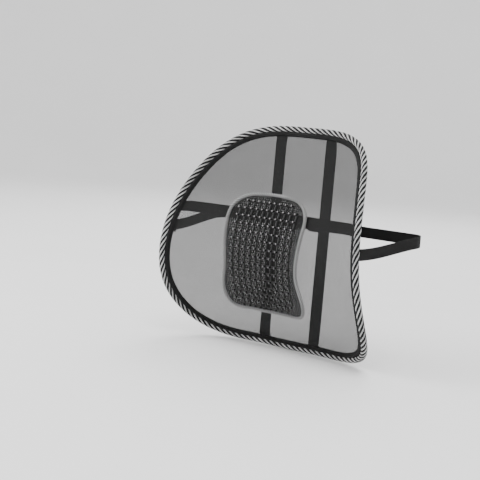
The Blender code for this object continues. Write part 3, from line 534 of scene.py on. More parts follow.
def moulded_grain():
    """Spark-eroded mould finish: fine pits, with slow waves from cooling."""
    inputs = [("Place", VECTOR, None), ("Pit", FLOAT, 8.0)]
    tree, g, given, out = effect("moulded grain", inputs, ("Height", "Tone"))
    pits = g.noise(given["Place"], given["Pit"], 3.0, 0.6)
    waves = g.noise(given["Place"], 0.12, 1.0)
    g.put(out.inputs["Height"], g.math("ADD", g.math("MULTIPLY", pits, 0.5), waves))
    g.put(out.inputs["Tone"], pits)
    return tree


SPUN, WEAVE, KNIT, NET, HANDLED, GRAIN = (
    spun_fibre(), plain_weave(), ribbed_knit(), honeycomb_net(), handled(), moulded_grain())


def finish(name, roughness, metallic=0.0, **sockets):
    """New material: its graph and its Principled shader, with the constant sockets set."""
    made = bpy.data.materials.new(name)
    made.use_nodes = True
    graph = Graph(made.node_tree)
    shader = made.node_tree.nodes["Principled BSDF"]
    graph.put(shader.inputs["Roughness"], roughness)
    graph.put(shader.inputs["Metallic"], metallic)
    for key, value in sockets.items():
        shader.inputs[key.replace("_", " ")].default_value = value
    return made, graph, shader


def grey(value, warm=0.0):
    return (value * (1 + warm), value, value * (1 - warm), 1)


def yarn_finish(name, dark, light, slant, fibre, ply, depth, roughness=0.72, sheen=0.35):
    """Spun yarn: streaks of two tones under a soft sheen, with the twist in its height and painted shade in
    the valleys between its plies.
    """
    made, g, shader = finish(name, roughness, Sheen_Weight=sheen, Sheen_Roughness=0.5,
                             Specular_IOR_Level=0.15)
    place = g.millimetres()
    fibres = g.use(SPUN, Place=place, Slant=slant, Fibre=fibre, Ply=ply)
    worn = g.use(HANDLED, Place=g.object_millimetres())
    # The fibre tone carries painted shade in the ply valleys; the patch adds wear
    tone = g.math("MULTIPLY_ADD", worn["Patch"], 0.18, fibres["Tone"], clamp=True)
    g.put(shader.inputs["Base Color"], g.mix(g.span(tone, 0.25, 0.85), dark, light))
    g.put(shader.inputs["Normal"], g.bump(fibres["Height"], depth, 0.9))
    return made


def woven_finish(name, dark, light, warp, weft, depth, roughness=0.8):
    """Plain-woven tape: its warp a touch lighter than its weft, with the weave in its height."""
    made, g, shader = finish(name, roughness, Sheen_Weight=0.03, Sheen_Roughness=0.45,
                             Specular_IOR_Level=0.12)
    weave = g.use(WEAVE, Place=g.millimetres(), Warp=warp, Weft=weft)
    worn = g.use(HANDLED, Place=g.object_millimetres())
    tone = g.math("ADD", g.math("MULTIPLY", weave["Over"], 0.35), g.math("MULTIPLY", weave["Tone"], 0.5))
    tone = g.math("MULTIPLY_ADD", worn["Patch"], 0.2, tone, clamp=True)
    g.put(shader.inputs["Base Color"], g.mix(tone, dark, light))
    g.put(shader.inputs["Normal"], g.bump(weave["Height"], depth, 0.8))
    return made


def elastic_finish():
    """Black elastic: ribs that run along it, a little shinier on their crowns, and painted shade that darkens
    the grooves between them.
    """
    made, g, shader = finish("black elastic", 0.7, Sheen_Weight=0.03, Sheen_Roughness=0.4,
                             Specular_IOR_Level=0.15)
    knit = g.use(KNIT, Place=g.millimetres(), Rib=1.25, Pick=0.62)
    worn = g.use(HANDLED, Place=g.object_millimetres())
    tone = g.math("MULTIPLY_ADD", worn["Patch"], 0.15, knit["Tone"], clamp=True)
    # Base colour from the knit tone: painted shade in the grooves, plus wear patches
    g.put(shader.inputs["Base Color"], g.mix(tone, grey(0.004), grey(0.015)))
    g.put(shader.inputs["Roughness"], g.span(knit["Tone"], 0.0, 0.7, 0.8, 0.6, smooth=False))
    g.put(shader.inputs["Normal"], g.bump(knit["Height"], 0.00022, 0.8))
    return made


def net_finish(name, cell, thread, dark, light):
    """Knitted net: black thread on six-sided cells, open between."""
    made, g, shader = finish(name, 0.62, Sheen_Weight=0.02, Sheen_Roughness=0.4, Specular_IOR_Level=0.12)
    place = g.millimetres()
    net = g.use(NET, Place=place, Cell=cell, Thread=thread)
    tone = g.noise(place, 2.2, 3.0)
    g.put(shader.inputs["Base Color"], g.mix(tone, dark, light))
    g.put(shader.inputs["Alpha"], net["Mask"])
    g.put(shader.inputs["Normal"], g.bump(net["Height"], 0.0002, 0.7))
    return made


def vinyl_finish(name, roughness, specular, coat):
    """Soft black vinyl: cooling waves in its gloss, duller specks where dust has settled."""
    made, g, shader = finish(name, roughness, Coat_Weight=coat, Coat_Roughness=0.2, IOR=1.55,
                             Specular_IOR_Level=specular)
    place = g.object_millimetres()
    grain = g.use(GRAIN, Place=place, Pit=3.0)
    worn = g.use(HANDLED, Place=place)
    g.put(shader.inputs["Base Color"], g.mix(worn["Speck"], grey(0.004), grey(0.020)))
    rough = g.math("MULTIPLY_ADD", grain["Tone"], 0.12, roughness - 0.06)
    g.put(shader.inputs["Roughness"], g.math("MULTIPLY_ADD", worn["Speck"], 0.3, rough, clamp=True))
    g.put(shader.inputs["Normal"], g.bump(grain["Height"], 0.00012, 0.35))
    return made


def acetal_finish():
    """Black acetal: fine satin grain, polished a little in patches by hands."""
    made, g, shader = finish("black acetal", 0.4, IOR=1.48, Specular_IOR_Level=0.3)
    place = g.object_millimetres()
    grain = g.use(GRAIN, Place=place, Pit=6.0)
    worn = g.use(HANDLED, Place=place)
    g.put(shader.inputs["Base Color"], g.mix(grain["Tone"], grey(0.005), grey(0.011)))
    g.put(shader.inputs["Roughness"], g.span(worn["Patch"], 0.0, 1.0, 0.46, 0.34, smooth=False))
    g.put(shader.inputs["Normal"], g.bump(grain["Height"], 0.00004, 0.6))
    return made


def metal_finish(name, tone, roughness, streak):
    """Drawn or plated metal: fine scratches of this length, with slow stains."""
    made, g, shader = finish(name, roughness, metallic=1.0)
    place = g.object_millimetres()
    scratch = g.noise(g.vector("MULTIPLY", place, (streak, 1.0, 1.0)), 3.0, 3.0)
    worn = g.use(HANDLED, Place=place)
    g.put(shader.inputs["Base Color"], g.mix(worn["Patch"], grey(tone), grey(tone * 0.8, 0.03)))
    g.put(shader.inputs["Roughness"], g.math("MULTIPLY_ADD", scratch, 0.25, roughness - 0.12))
    g.put(shader.inputs["Normal"], g.bump(scratch, 0.00003, 0.4))
    return made


LIGHT_YARN = yarn_finish("light grey strand", grey(0.17), grey(0.66), 0.15, 0.16, 1.2, 0.00035, 0.75, 0.1)
BLACK_YARN = yarn_finish("black strand", grey(0.003), grey(0.014), 0.15, 0.16, 1.2, 0.00035, 0.66, 0.03)
GREY_YARN = yarn_finish("grey cord strand", grey(0.14), grey(0.46), 0.15, 0.12, 0.8, 0.00025, 0.75, 0.1)
THREAD = yarn_finish("black thread", grey(0.004), grey(0.014), 0.8, 0.08, 0.3, 0.00004, 0.5, 0.05)
BINDING = woven_finish("binding tape", grey(0.003), grey(0.011), 0.42, 0.8, 0.00016)
WEBBING = woven_finish("black webbing", grey(0.004), grey(0.013), 0.9, 0.7, 0.00022)
ELASTIC = elastic_finish()
BLACK_NET = net_finish("black net", 1.8, 0.95, grey(0.003), grey(0.011))
FINE_NET = net_finish("fine black net", 1.3, 0.86, grey(0.003), grey(0.011))
VINYL = vinyl_finish("polished black vinyl", 0.2, 0.6, 0.5)
SATIN_VINYL = vinyl_finish("satin black vinyl", 0.34, 0.2, 0.0)
ACETAL = acetal_finish()
SPRING_STEEL = metal_finish("spring steel", 0.5, 0.35, 0.1)
ZINC = metal_finish("zinc sleeve", 0.58, 0.42, 0.6)


# Edge rope and cords

def strand_profile(radius, valley, strands):
    """Lobed section of a laid rope: each strand is half an ellipse that stands on the valley circle.

    strands lists each strand's half angle, its crown as a share of the radius, its columns and its slot.
    """
    points, slots, middle = [], [], 0.0
    for half, crown, columns, slot in strands:
        middle += half
        t = np.linspace(-math.pi / 2, math.pi / 2, columns + 1)[:-1]
        angle = middle + half * np.sin(t)
        reach = valley + (radius * crown - valley) * np.cos(t) ** 0.8
        points.append(np.stack([angle, reach], axis=1))
        slots.append(np.full(columns, slot))
        middle += half
    return np.concatenate(points), np.concatenate(slots)


def laid_rope(name, rail, forward, radius, valley, strands, lead, steps, materials):
    """The lobed section carried round a rail and turned once in each lead, right-handed."""
    section, slots = strand_profile(radius, valley, strands)
    turns = round(rail.length / lead)
    stations = turns * steps
    arc = np.arange(stations) * rail.length / stations
    share = TAU * arc / rail.length
    swell = 1 + 0.010 * np.sin(share * 41 + 1.3) + 0.008 * np.sin(share * 67)
    angle = section[None, :, 0] + TAU * turns * np.arange(stations)[:, None] / stations
    reach = section[None, :, 1] * swell[:, None]
    points = rail.place(arc[:, None], reach * np.cos(angle), forward + reach * np.sin(angle))
    stretch = math.hypot(1, TAU * radius * turns / rail.length)
    along = np.arange(stations + 1) * rail.length / stations * stretch
    across = np.concatenate([section[:, 0], [section[0, 0] + TAU]]) * radius
    shape = Shape()
    shape.grid(points, along[:, None], across[None, :], wrap=(True, True), slots=slots[None, :])
    return shape.build(name, materials, sharp=50)


RAIL = Rail(RAIL_SHAPE, HALF_WIDTH, HALF_HEIGHT, -HALF_HEIGHT)
MAT = Rail(MAT_SHAPE, MAT_HALF_WIDTH, MAT_TOP, MAT_BOTTOM)


def edge_rope():
    """Eight strands, light and black by turns; the light ones are laid narrower."""
    light, black = math.radians(16.5), math.radians(28.5)
    strands = [(light, 1.0, 6, 0), (black, 0.985, 8, 1)] * 4
    rope = laid_rope("edge_rope_laid", RAIL, 0.0, ROPE_RADIUS, ROPE_RADIUS - 0.0013, strands, 0.054, 22,
                     [LIGHT_YARN, BLACK_YARN])
    finish_piece(rope, "root", "two_tone_rope", "edge_rope")


def mat_cord():
    """Three light strands, closely laid, with a black one between each two."""
    light, black = math.radians(31), math.radians(29)
    cord = laid_rope("mat_cord_laid", MAT, MAT_CORD_FORWARD, MAT_CORD_RADIUS, MAT_CORD_RADIUS - 0.0009,
                     [(light, 1.0, 6, 0), (black, 0.92, 6, 1)] * 3, 0.0162, 22, [GREY_YARN, BLACK_YARN])
    finish_piece(cord, "root", "grey_cord", "mat_cord")


# Net

def flat_coords(points):
    """Place on the flat cut cloth: across it as it lies, and along the bow."""
    return np.stack([points[..., 0], bow_length(points[..., 2])], axis=-1)


def net_disc(name, rail, stations, rings, inward, forward, middle, material, ripple=0.0):
    """Net that fills a rail: rings of its edge shrunk towards the middle, on the surface.

    A ripple lifts the hem in a sine round the edge, which fades within a few millimetres.
    """
    arc = np.arange(stations) * rail.length / stations
    edge = rail.read(rail.line, arc) + inward * rail.read(rail.inward, arc)
    share = np.linspace(1, 0, rings + 1)[:-1] ** 0.9
    flat = middle + share[:, None, None] * (edge - middle)[None]
    depth = (1 - share)[:, None] * np.linalg.norm(edge - middle, axis=1)[None]
    waves = np.round(rail.length / RIPPLE_LENGTH)
    lift = ripple * np.sin(TAU * waves * arc / rail.length)[None] * np.exp(-depth / RIPPLE_LENGTH)
    points = on_surface(flat[..., 0], flat[..., 1], forward + lift)
    centre = on_surface(middle[0], middle[1], forward)
    shape = Shape()
    i, j = np.meshgrid(np.arange(rings - 1), np.arange(stations), indexing="ij")
    k = (j + 1) % stations
    near, far = i * stations, (i + 1) * stations
    quads = np.stack([near + j, near + k, far + k, far + j], axis=-1)
    every = np.concatenate([points.reshape(-1, 3), centre[None]])
    coords = flat_coords(every)
    quads = quads.reshape(-1, 4)
    shape.add(every, quads, coords[quads], np.zeros(len(quads), int))
    last = (rings - 1) * stations + np.arange(stations)
    fan = np.stack([last, np.roll(last, -1), np.full(stations, rings * stations)], axis=1)
    shape.faces.append(fan)
    shape.coords.append(coords[fan])
    shape.slots.append(np.zeros(stations, int))
    net = shape.build(name, [material])
    outline = flat_coords(points[0])
    width, length = np.ptp(outline, axis=0)
    x, y = outline.T
    area = abs(np.dot(x, np.roll(y, -1)) - np.dot(y, np.roll(x, -1))) / 2
    return net, (float(width), float(length)), float(area)


def nets():
    """The panel, hemmed into the binding, and the finer net that backs the mat."""
    panel, flat, area = net_disc("net_panel", RAIL, 216, 30, NET_EDGE, NET_FORWARD, np.zeros(2), BLACK_NET,
                                 ripple=HEM_RIPPLE)
    finish_piece(panel, "root", "black_net", "mesh_panel")
    middle = np.array([0.0, (MAT_TOP + MAT_BOTTOM) / 2])
    back, flat, area = net_disc("mat_net", MAT, 132, 16, MAT_CORD_RADIUS / 2, BACKING_FORWARD, middle,
                                FINE_NET)
    finish_piece(back, "root", "black_net", "mat_backing")


# Massage mat

def nub_columns():
    k = np.arange(-NUB_SIDE_COLUMNS, NUB_SIDE_COLUMNS + 1)
    return k * NUB_COLUMN_PITCH + np.sign(k) * k**2 * NUB_COLUMN_SPREAD


def bar_section(width, back, crown, points=7):
    """Half-round bar: a flat back and a crown, as a closed ring of side and forward offsets."""
    t = np.linspace(0, math.pi, points)
    side = np.concatenate([[-width / 2, width / 2], width / 2 * np.cos(t)])
    rise = np.concatenate([[back, back], back + BAR_SIDE + (crown - back - BAR_SIDE) * np.sin(t)])
    return np.stack([side, rise], axis=1)


def lay_bar(shape, x, z, across, section):
    """A section carried over the surface along x and z, offset sideways in the surface by `across`."""
    side, rise = section[None, :, 0], section[None, :, 1]
    points = on_surface(x[:, None] + side * across[0], z[:, None] + side * across[1], rise)
    along, around = np.arange(len(x))[:, None] * BAR_FACE, np.arange(len(section) + 1)[None, :] * TUBE_FACE
    shape.grid(points, along, around, wrap=(False, True), caps=True)


def nubs(shape, x, z, foot, length):
    """Turned nub on each place: a filleted foot, a waist and a round head, stood on the surface's normal."""
    rise = np.array([-0.10, 0.04, 0.14, 0.38, 0.62, 0.76, 0.88, 0.955, 0.988, 1.0]) * length
    reach = np.array([2.15, 1.85, 1.50, 1.30, 1.50, 1.82, 1.92, 1.72, 1.20, 0.45]) * 1e-3
    base = on_surface(x, z, foot)
    up = forward_normal(x, z)
    right = unit(np.cross(up, np.broadcast_to([0, 0, 1.0], up.shape)))
    ring = ring_round(10, right, np.cross(right, up))
    points = base[:, None, None] + rise[None, :, None, None] * up[:, None, None] + \
        reach[None, :, None, None] * ring[:, None]
    shape.tubes(points, 1)


def massage_mat():
    """Open moulded lattice: upright ribs, thinner bars across them, and a nub where they cross."""
    columns = nub_columns()
    start, end = bow_length(MAT_TOP - NUB_TOP_MARGIN), bow_length(MAT_BOTTOM + NUB_BOTTOM_MARGIN)
    rows = height_at_length(np.linspace(start, end, NUB_ROWS))
    corner = NUB_SIDE_COLUMNS - NUB_END_SIDE_COLUMNS
    shape = Shape()
    rib = bar_section(NUB_BASE, LATTICE_BACK, LATTICE_FRONT + 0.0002)
    bar = bar_section(NUB_BASE * 0.8, LATTICE_BACK, LATTICE_FRONT - 0.0001)
    for k, x in enumerate(columns):
        short = k < corner or k >= len(columns) - corner
        first, last = (rows[1], rows[-2]) if short else (rows[0], rows[-1])
        z = height_at_length(np.linspace(bow_length(first), bow_length(last), 4 * NUB_ROWS))
        lay_bar(shape, np.full(len(z), x), z, (1, 0), rib)
    for k, z in enumerate(rows):
        short = k in (0, NUB_ROWS - 1)
        ends = columns[corner], columns[-1 - corner]
        first, last = ends if short else (columns[0], columns[-1])
        x = np.linspace(first, last, 3 * len(columns))
        lay_bar(shape, x, np.full(len(x), z), (0, -1), bar)
    x, z = (a.ravel() for a in np.meshgrid(columns, rows))
    inner = (np.abs(x) < abs(columns[0]) - 1e-6) | ((z < rows[0] - 1e-6) & (z > rows[-1] + 1e-6))
    nubs(shape, x[inner], z[inner], LATTICE_FRONT, NUB_LENGTH)
    mat = shape.build("massage_lattice", [SATIN_VINYL, VINYL], sharp=60)
    finish_piece(mat, "root", "black_vinyl", "massage_mat")


# Binding and stitching

def stitches(shape, start, end, up, radius):
    """Round thread along every stitch at once: it dives in at both ends, and a sine lifts it between."""
    t = np.linspace(0, 1, 5)
    lift = radius * 1.6 * np.sin(math.pi * t) - radius * 0.9
    path = start[:, None] + (end - start)[:, None] * t[None, :, None] + lift[None, :, None] * up[:, None]
    ring = ring_round(6, unit(np.cross(unit(end - start), up)), up)
    reach = radius * np.array([0.5, 0.95, 1.0, 0.95, 0.5])
    shape.tubes(path[:, :, None] + reach[None, :, None, None] * ring[:, None])


def rail_stitches(shape, rail, inward, forward, length, pitch, radius, side):
    """A line of stitches at a constant offset from a rail."""
    count = round(rail.length / pitch)
    arc = np.arange(count) * rail.length / count
    offset = np.full(count, inward)
    start = rail.place(arc, offset, forward)
    end = rail.place(arc + length, offset, forward)
    at = rail.read(rail.line, arc + length / 2)
    stitches(shape, start, end, side * forward_normal(at[:, 0], at[:, 1]), radius)


def edge_binding():
    """Folded tape round the wire, with two legs that clamp the hem: arcs joined by straight legs."""
    slit = NET_HALF + HEM_GAP
    thick = BINDING_OUTER - BINDING_INNER
    outer_turn = math.asin((slit + thick) / BINDING_OUTER)
    inner_turn = math.asin(slit / BINDING_INNER)
    outer = np.linspace(outer_turn, TAU - outer_turn, 22)
    inner = np.linspace(TAU - inner_turn, inner_turn, 14)
    rim = np.radians([60, 20, -20, -60])
    front = np.stack([BINDING_LEG - RIM + RIM * np.cos(rim), slit + thick / 2 * (1 - np.sin(rim))], axis=1)
    leg = np.linspace(BINDING_LEG - 0.0005, BINDING_LEG - 0.0015, 3)
    section = np.concatenate([
        front[::-1], np.stack([leg, np.full(3, slit + thick)], 1),
        BINDING_OUTER * np.stack([np.cos(outer), np.sin(outer)], 1),
        np.stack([leg[::-1], np.full(3, -slit - thick)], 1), front * [1, -1],
        np.stack([leg, np.full(3, -slit)], 1),
        BINDING_INNER * np.stack([np.cos(inner), np.sin(inner)], 1),
        np.stack([leg[::-1], np.full(3, slit)], 1)])
    stations = 420
    arc = np.arange(stations) * RAIL.length / stations
    points = RAIL.place(arc[:, None], WIRE_INWARD + section[None, :, 0], NET_FORWARD + section[None, :, 1])
    around = running_length(np.concatenate([section, section[:1]]))
    shape = Shape()
    along = np.arange(stations + 1) * RAIL.length / stations
    shape.grid(points, along[:, None], around[None, :], wrap=(True, True))
    tape = shape.build("edge_binding_tape", [BINDING], sharp=50)
    finish_piece(tape, "root", "binding_tape", "edge_binding")
    seam = Shape()
    for side in (1, -1):
        level = NET_FORWARD + side * (slit + thick)
        rail_stitches(seam, RAIL, WIRE_INWARD + BINDING_SEAM, level, *BINDING_STITCH, side)
    finish_piece(seam.build("binding_stitches", [THREAD]), "root", "black_thread")
    seam = Shape()
    level = BACKING_FORWARD + ON_TOP
    rail_stitches(seam, MAT, MAT_CORD_RADIUS + MAT_SEAM, level, *MAT_STITCH, 1)
    finish_piece(seam.build("mat_stitches", [THREAD]), "root", "black_thread")


# Tapes and strap

def thicken(grid, thickness):
    """Woven band from its middle points: two faces along its normals, and round selvedges at its sides."""
    along, across = np.gradient(grid, axis=0), np.gradient(grid, axis=1)
    normal, across = unit(np.cross(along, across)), unit(across)
    half = thickness / 2
    turn = np.radians([-60, -20, 20, 60])
    out, rise = np.cos(turn)[None, :, None] * half, np.sin(turn)[None, :, None] * half
    right = grid[:, -1:] + across[:, -1:] * out + normal[:, -1:] * rise
    left = grid[:, :1] - across[:, :1] * out - normal[:, :1] * rise
    return np.concatenate([grid - normal * half, right, (grid + normal * half)[:, ::-1], left], axis=1)


def band(name, grid, thickness, material):
    """Piece of woven band over its middle points, with its flat coordinates along and across it."""
    points = thicken(grid, thickness)
    closed = points.shape[1]
    run = running_length(grid.mean(axis=1))
    width = running_length(grid[len(grid) // 2])
    edge = np.linspace(0, thickness, 6)[1:-1]
    across = np.concatenate([width, width[-1] + edge, width[::-1], -edge])
    across = np.concatenate([across, across[:1]])
    shape = Shape()
    shape.grid(points, run[:, None], across[None, :], wrap=(False, True))
    for row, turn in ((0, 1), (len(grid) - 1, -1)):
        ring = (row * closed + np.arange(closed))[::turn]
        shape.fan(ring, points[row].mean(axis=0), 0)
    return shape.build(name, [material], sharp=60)


def refine(grid, parts):
    """Straight runs between the rows of a grid, each cut in this many parts."""
    rows = [grid[i] + (grid[i + 1] - grid[i]) * np.linspace(0, 1, n, endpoint=False)[:, None, None]
            for i, n in enumerate(parts)]
    return np.concatenate(rows + [grid[-1:]])


def ease(grid, rounds):
    """Smooth the rows of a grid: each takes half of itself and a quarter of each neighbour, ends kept."""
    for _ in range(rounds):
        grid = np.concatenate([grid[:1], grid[1:-1] / 2 + (grid[:-2] + grid[2:]) / 4, grid[-1:]])
    return grid


def back_tape(side):
    """Bow-string tape: sewn to the back of both rails, and flat and straight between them."""
    name = "left" if side < 0 else "right"
    half = (TAPE_WIDTH - TAPE_THICKNESS) / 2
    x = side * TAPE_SPACING / 2 + np.linspace(-half, half, 13)
    inward = WIRE_INWARD + np.array([-TAPE_LAP_OUT, TAPE_LAP_IN])
    level = BINDING_BACK - SEW - TAPE_THICKNESS / 2
    top, bottom = (RAIL.place(RAIL.arc_at_x(x, upper)[None, :], inward[:, None], level)
                   for upper in (True, False))
    bottom = bottom[::-1]
    high, low = top[-1].mean(axis=0), bottom[0].mean(axis=0)
    step = (high - low) * TAPE_EASE / np.linalg.norm(high - low)
    flat = [np.column_stack([x, np.tile(at[1:], (len(x), 1))]) for at in (high - step, low + step)]
    grid = refine(np.stack([top[0], top[1], flat[0], flat[1], bottom[0], bottom[1]]), [6, 10, 90, 10, 6])
    tape = band(f"back_webbing_{name}", ease(grid, 3), TAPE_THICKNESS, WEBBING)
    finish_piece(tape, "root", "black_webbing", f"back_tape_{name}")


def cross_tape():
    """Tape across the back of the net: on the net in the middle, out over the binding at its ends."""
    half = (CROSS_TAPE_WIDTH - TAPE_THICKNESS) / 2
    z = CROSS_TAPE_HEIGHT + np.linspace(-half, half, 11)
    reach = RAIL.read(RAIL.line, RAIL.arc_at_height(z, 1))[:, 0]
    near = WIRE_INWARD + np.linspace(-TAPE_LAP_OUT, CROSS_LAND, 22)
    middle = np.linspace(-1, 1, 121)[1:-1]
    left = [-(reach - a) for a in near]
    across = [m * (reach - near[-1]) for m in middle]
    x = np.array(left + across + [reach - a for a in near[::-1]])
    on_net = NET_FORWARD - NET_HALF - QUILT - TAPE_THICKNESS / 2
    on_binding = BINDING_BACK - SEW - TAPE_THICKNESS / 2
    t = np.clip((reach[None] - np.abs(x) - WIRE_INWARD - CROSS_LEAVE) / (CROSS_LAND - CROSS_LEAVE), 0, 1)
    level = on_binding + (on_net - on_binding) * eased(t)
    grid = on_surface(x, z[None, :], level)
    tape = band("cross_webbing", grid, TAPE_THICKNESS, WEBBING)
    finish_piece(tape, "root", "black_webbing", "cross_tape")


def filleted(corners, radii, step):
    """A line through the corners in plan, with each inner corner rounded to its radius."""
    line = [np.array(corners[0], float)]
    for before, here, after, radius in zip(corners, corners[1:], corners[2:], radii):
        back, on = np.array(before, float) - here, np.array(after, float) - here
        back /= np.linalg.norm(back)
        on /= np.linalg.norm(on)
        turn = math.pi - math.acos(float(np.clip(back @ on, -1, 1)))
        reach = radius * math.tan(turn / 2)
        centre = here + (back + on) / np.linalg.norm(back + on) * radius / math.cos(turn / 2)
        start = here + back * reach
        spoke = start - centre
        sign = math.copysign(1, spoke[0] * -back[1] - spoke[1] * -back[0])
        for t in np.linspace(0, turn, max(3, math.ceil(turn / step) + 1)):
            c, s = math.cos(sign * t), math.sin(sign * t)
            line.append(centre + [c * spoke[0] - s * spoke[1], s * spoke[0] + c * spoke[1]])
    line.append(np.array(corners[-1], float))
    return np.array(line)


def spread(points, spacing):
    """The same polyline with extra points, so that no step is longer than the spacing."""
    run = running_length(points)
    extra = [np.linspace(a, b, max(1, math.ceil((b - a) / spacing)), endpoint=False)
             for a, b in zip(run, run[1:])]
    at = np.concatenate(extra + [run[-1:]])
    return np.stack([np.interp(at, run, points[:, k]) for k in range(points.shape[1])], axis=1)


# Buckle layout, from the model: along the strap from the buckle's mouth
WEB_BAR, WEB_BAR_HALF = 0.0030, 0.00075
LAYER = WEB_BAR_HALF + 0.0004 + STRAP_THICKNESS / 2
FOLD_INSET = 0.0004
FOLD_DROP = 0.0018
SOCKET_END, PLUG_END = 0.0299, 0.0161
STRAP_TAIL, SEWN_FOLD, FOLD_SLOPE = 0.072, 0.022, (0.004, 0.012)
BUCKLE_HALF_DEPTH, RIDGE_PITCH = 0.0036, 0.0022


def strap_half(side, end, tail, drop):
    """One strap half: along the chair's side, round to the rear, and folded round the buckle's bar."""
    arc = RAIL.arc_at_height(STRAP_HEIGHT, side)
    level = BINDING_BACK - ANCHOR - STRAP_THICKNESS / 2
    start = RAIL.place(arc, WIRE_INWARD + STRAP_LAP_IN, level)
    leave = RAIL.place(arc, WIRE_INWARD - STRAP_LAP_OUT, level)
    corners = [start[:2], leave[:2], (side * STRAP_SPAN / 2, STRAP_DEPTH)]
    bar = side * (end + FOLD_INSET - WEB_BAR)
    corners.append((bar + side * WEB_BAR, STRAP_DEPTH))
    plan = spread(filleted(corners, [STRAP_BEND, STRAP_CORNER], math.radians(5)), STRAP_STEP)
    run = running_length(plan)
    sewn = math.dist(corners[0], corners[1])
    risen = sewn + math.dist(corners[1], corners[2])
    rise = eased(np.clip((run - sewn) / (risen - sewn), 0, 1))
    height = start[2] + (leave[2] - start[2]) * np.clip(run / sewn, 0, 1)
    height += rise * (STRAP_REAR_HEIGHT - leave[2])
    centre = np.array([bar, STRAP_DEPTH + LAYER])
    angles = np.radians(np.linspace(-90, 90, 19))
    turn = centre + LAYER * np.column_stack([-side * np.cos(angles), np.sin(angles)])
    top = centre[1] + LAYER
    slope = np.linspace(0, 1, 9)
    slope_run = FOLD_SLOPE[0] + (FOLD_SLOPE[1] - FOLD_SLOPE[0]) * slope
    back = np.column_stack([bar + side * slope_run, top - drop * eased(slope)])
    last = spread(np.array([back[-1], [bar + side * tail, top - drop]]), STRAP_STEP)[1:]
    fold = np.concatenate([turn, back, last])
    plan = np.concatenate([plan, fold])
    height = np.concatenate([height, np.full(len(fold), STRAP_REAR_HEIGHT)])
    rise = np.concatenate([rise, np.ones(len(fold))])
    middle = np.column_stack([plan, height])
    keep = np.concatenate([[True], np.linalg.norm(np.diff(middle, axis=0), axis=1) > 1e-5])
    middle, rise = middle[keep], rise[keep]
    along = unit(np.gradient(middle, axis=0))
    normal = forward_normal(start[0], start[2])
    upright = np.column_stack([np.zeros(len(rise)), -normal[2] / normal[1] * (1 - rise), np.ones(len(rise))])
    across = unit(upright - (upright * along).sum(axis=1, keepdims=True) * along)
    half = (STRAP_WIDTH - STRAP_THICKNESS) / 2
    return middle[:, None] + across[:, None] * np.linspace(-half, half, 12)[None, :, None]


def straps():
    """Both halves of the elastic chair strap: the right one stretches from the frame to the plug."""
    grid = strap_half(-1, SOCKET_END, STRAP_TAIL, 0.0)
    left = band("elastic_strap_left", grid, STRAP_THICKNESS, ELASTIC)
    finish_piece(left, "root", "black_elastic", "strap_left")
    grid = strap_half(1, PLUG_END, SEWN_FOLD, FOLD_DROP)
    right = band("elastic_strap_right", grid, STRAP_THICKNESS, ELASTIC)
    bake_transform(right)
    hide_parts("strap_right")


# Bartacks

def zigzag(name, node, place, strokes=26):
    """Dense zigzag of thread: place(a, b) gives the point and the normal for a and b from -1/2 to 1/2."""
    b = np.linspace(-0.5, 0.5, strokes)
    a = np.where(np.arange(strokes) % 2, 0.5, -0.5)
    points, up = place(a, b)
    shape = Shape()
    stitches(shape, points[:-1], points[1:], up[:-1], TACK_THREAD)
    finish_piece(shape.build(name, [THREAD]), "root", "black_thread", node)


def rail_tack(arcs, inward, level):
    """Places for a tack on the back of the binding: along the rail, then inwards."""
    def place(a, b):
        arc = np.interp(b, [-0.5, 0, 0.5], arcs)
        at = RAIL.read(RAIL.line, arc)
        return RAIL.place(arc, inward + a * TACK_LENGTH, level), -forward_normal(at[:, 0], at[:, 1])
    return place


def bartacks():
    share = np.array([-0.5, 0, 0.5])
    tape_level = BINDING_BACK - SEW - TAPE_THICKNESS - ON_TOP
    for side, name in ((-1, "left"), (1, "right")):
        x = side * TAPE_SPACING / 2 + share * (TAPE_WIDTH - 2 * TACK_MARGIN)
        for upper, end in ((True, "top"), (False, "bottom")):
            zigzag(f"tack_{name}_{end}", f"bartack_{name}_tape_{end}",
                   rail_tack(RAIL.arc_at_x(x, upper), WIRE_INWARD, tape_level))
        z = CROSS_TAPE_HEIGHT + share * (CROSS_TAPE_WIDTH - 2 * TACK_MARGIN)
        zigzag(f"tack_cross_{name}", f"bartack_cross_tape_{name}",
               rail_tack(RAIL.arc_at_height(z, side), WIRE_INWARD, tape_level), 22)
        z = STRAP_HEIGHT + share * (STRAP_WIDTH - 2 * TACK_MARGIN)
        level = BINDING_BACK - ANCHOR - STRAP_THICKNESS - ON_TOP
        zigzag(f"tack_strap_{name}", f"bartack_strap_{name}",
               rail_tack(RAIL.arc_at_height(z, side), WIRE_INWARD + STRAP_TACK, level), 22)


# Buckle and slider

def softened(name, node, width, body, material, slot):
    """The model's own moulding with its edges rounded."""
    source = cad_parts[node]
    mesh = source.data.copy()
    mesh.name = name
    made = bpy.data.objects.new(name, mesh)
    bpy.context.scene.collection.objects.link(made)
    work = bmesh.new()
    work.from_mesh(mesh)
    bmesh.ops.remove_doubles(work, verts=work.verts, dist=0.00002)
    bmesh.ops.dissolve_limit(work, angle_limit=math.radians(1), verts=work.verts, edges=work.edges)
    work.to_mesh(mesh)
    work.free()
    mesh.materials.clear()
    mesh.materials.append(material)
    mesh.shade_smooth()
    edge = made.modifiers.new("rounding", "BEVEL")
    edge.width = width
    edge.segments = 3
    edge.limit_method = "ANGLE"
    edge.angle_limit = math.radians(30)
    edge.harden_normals = True
    finish_piece(made, body, slot, node)


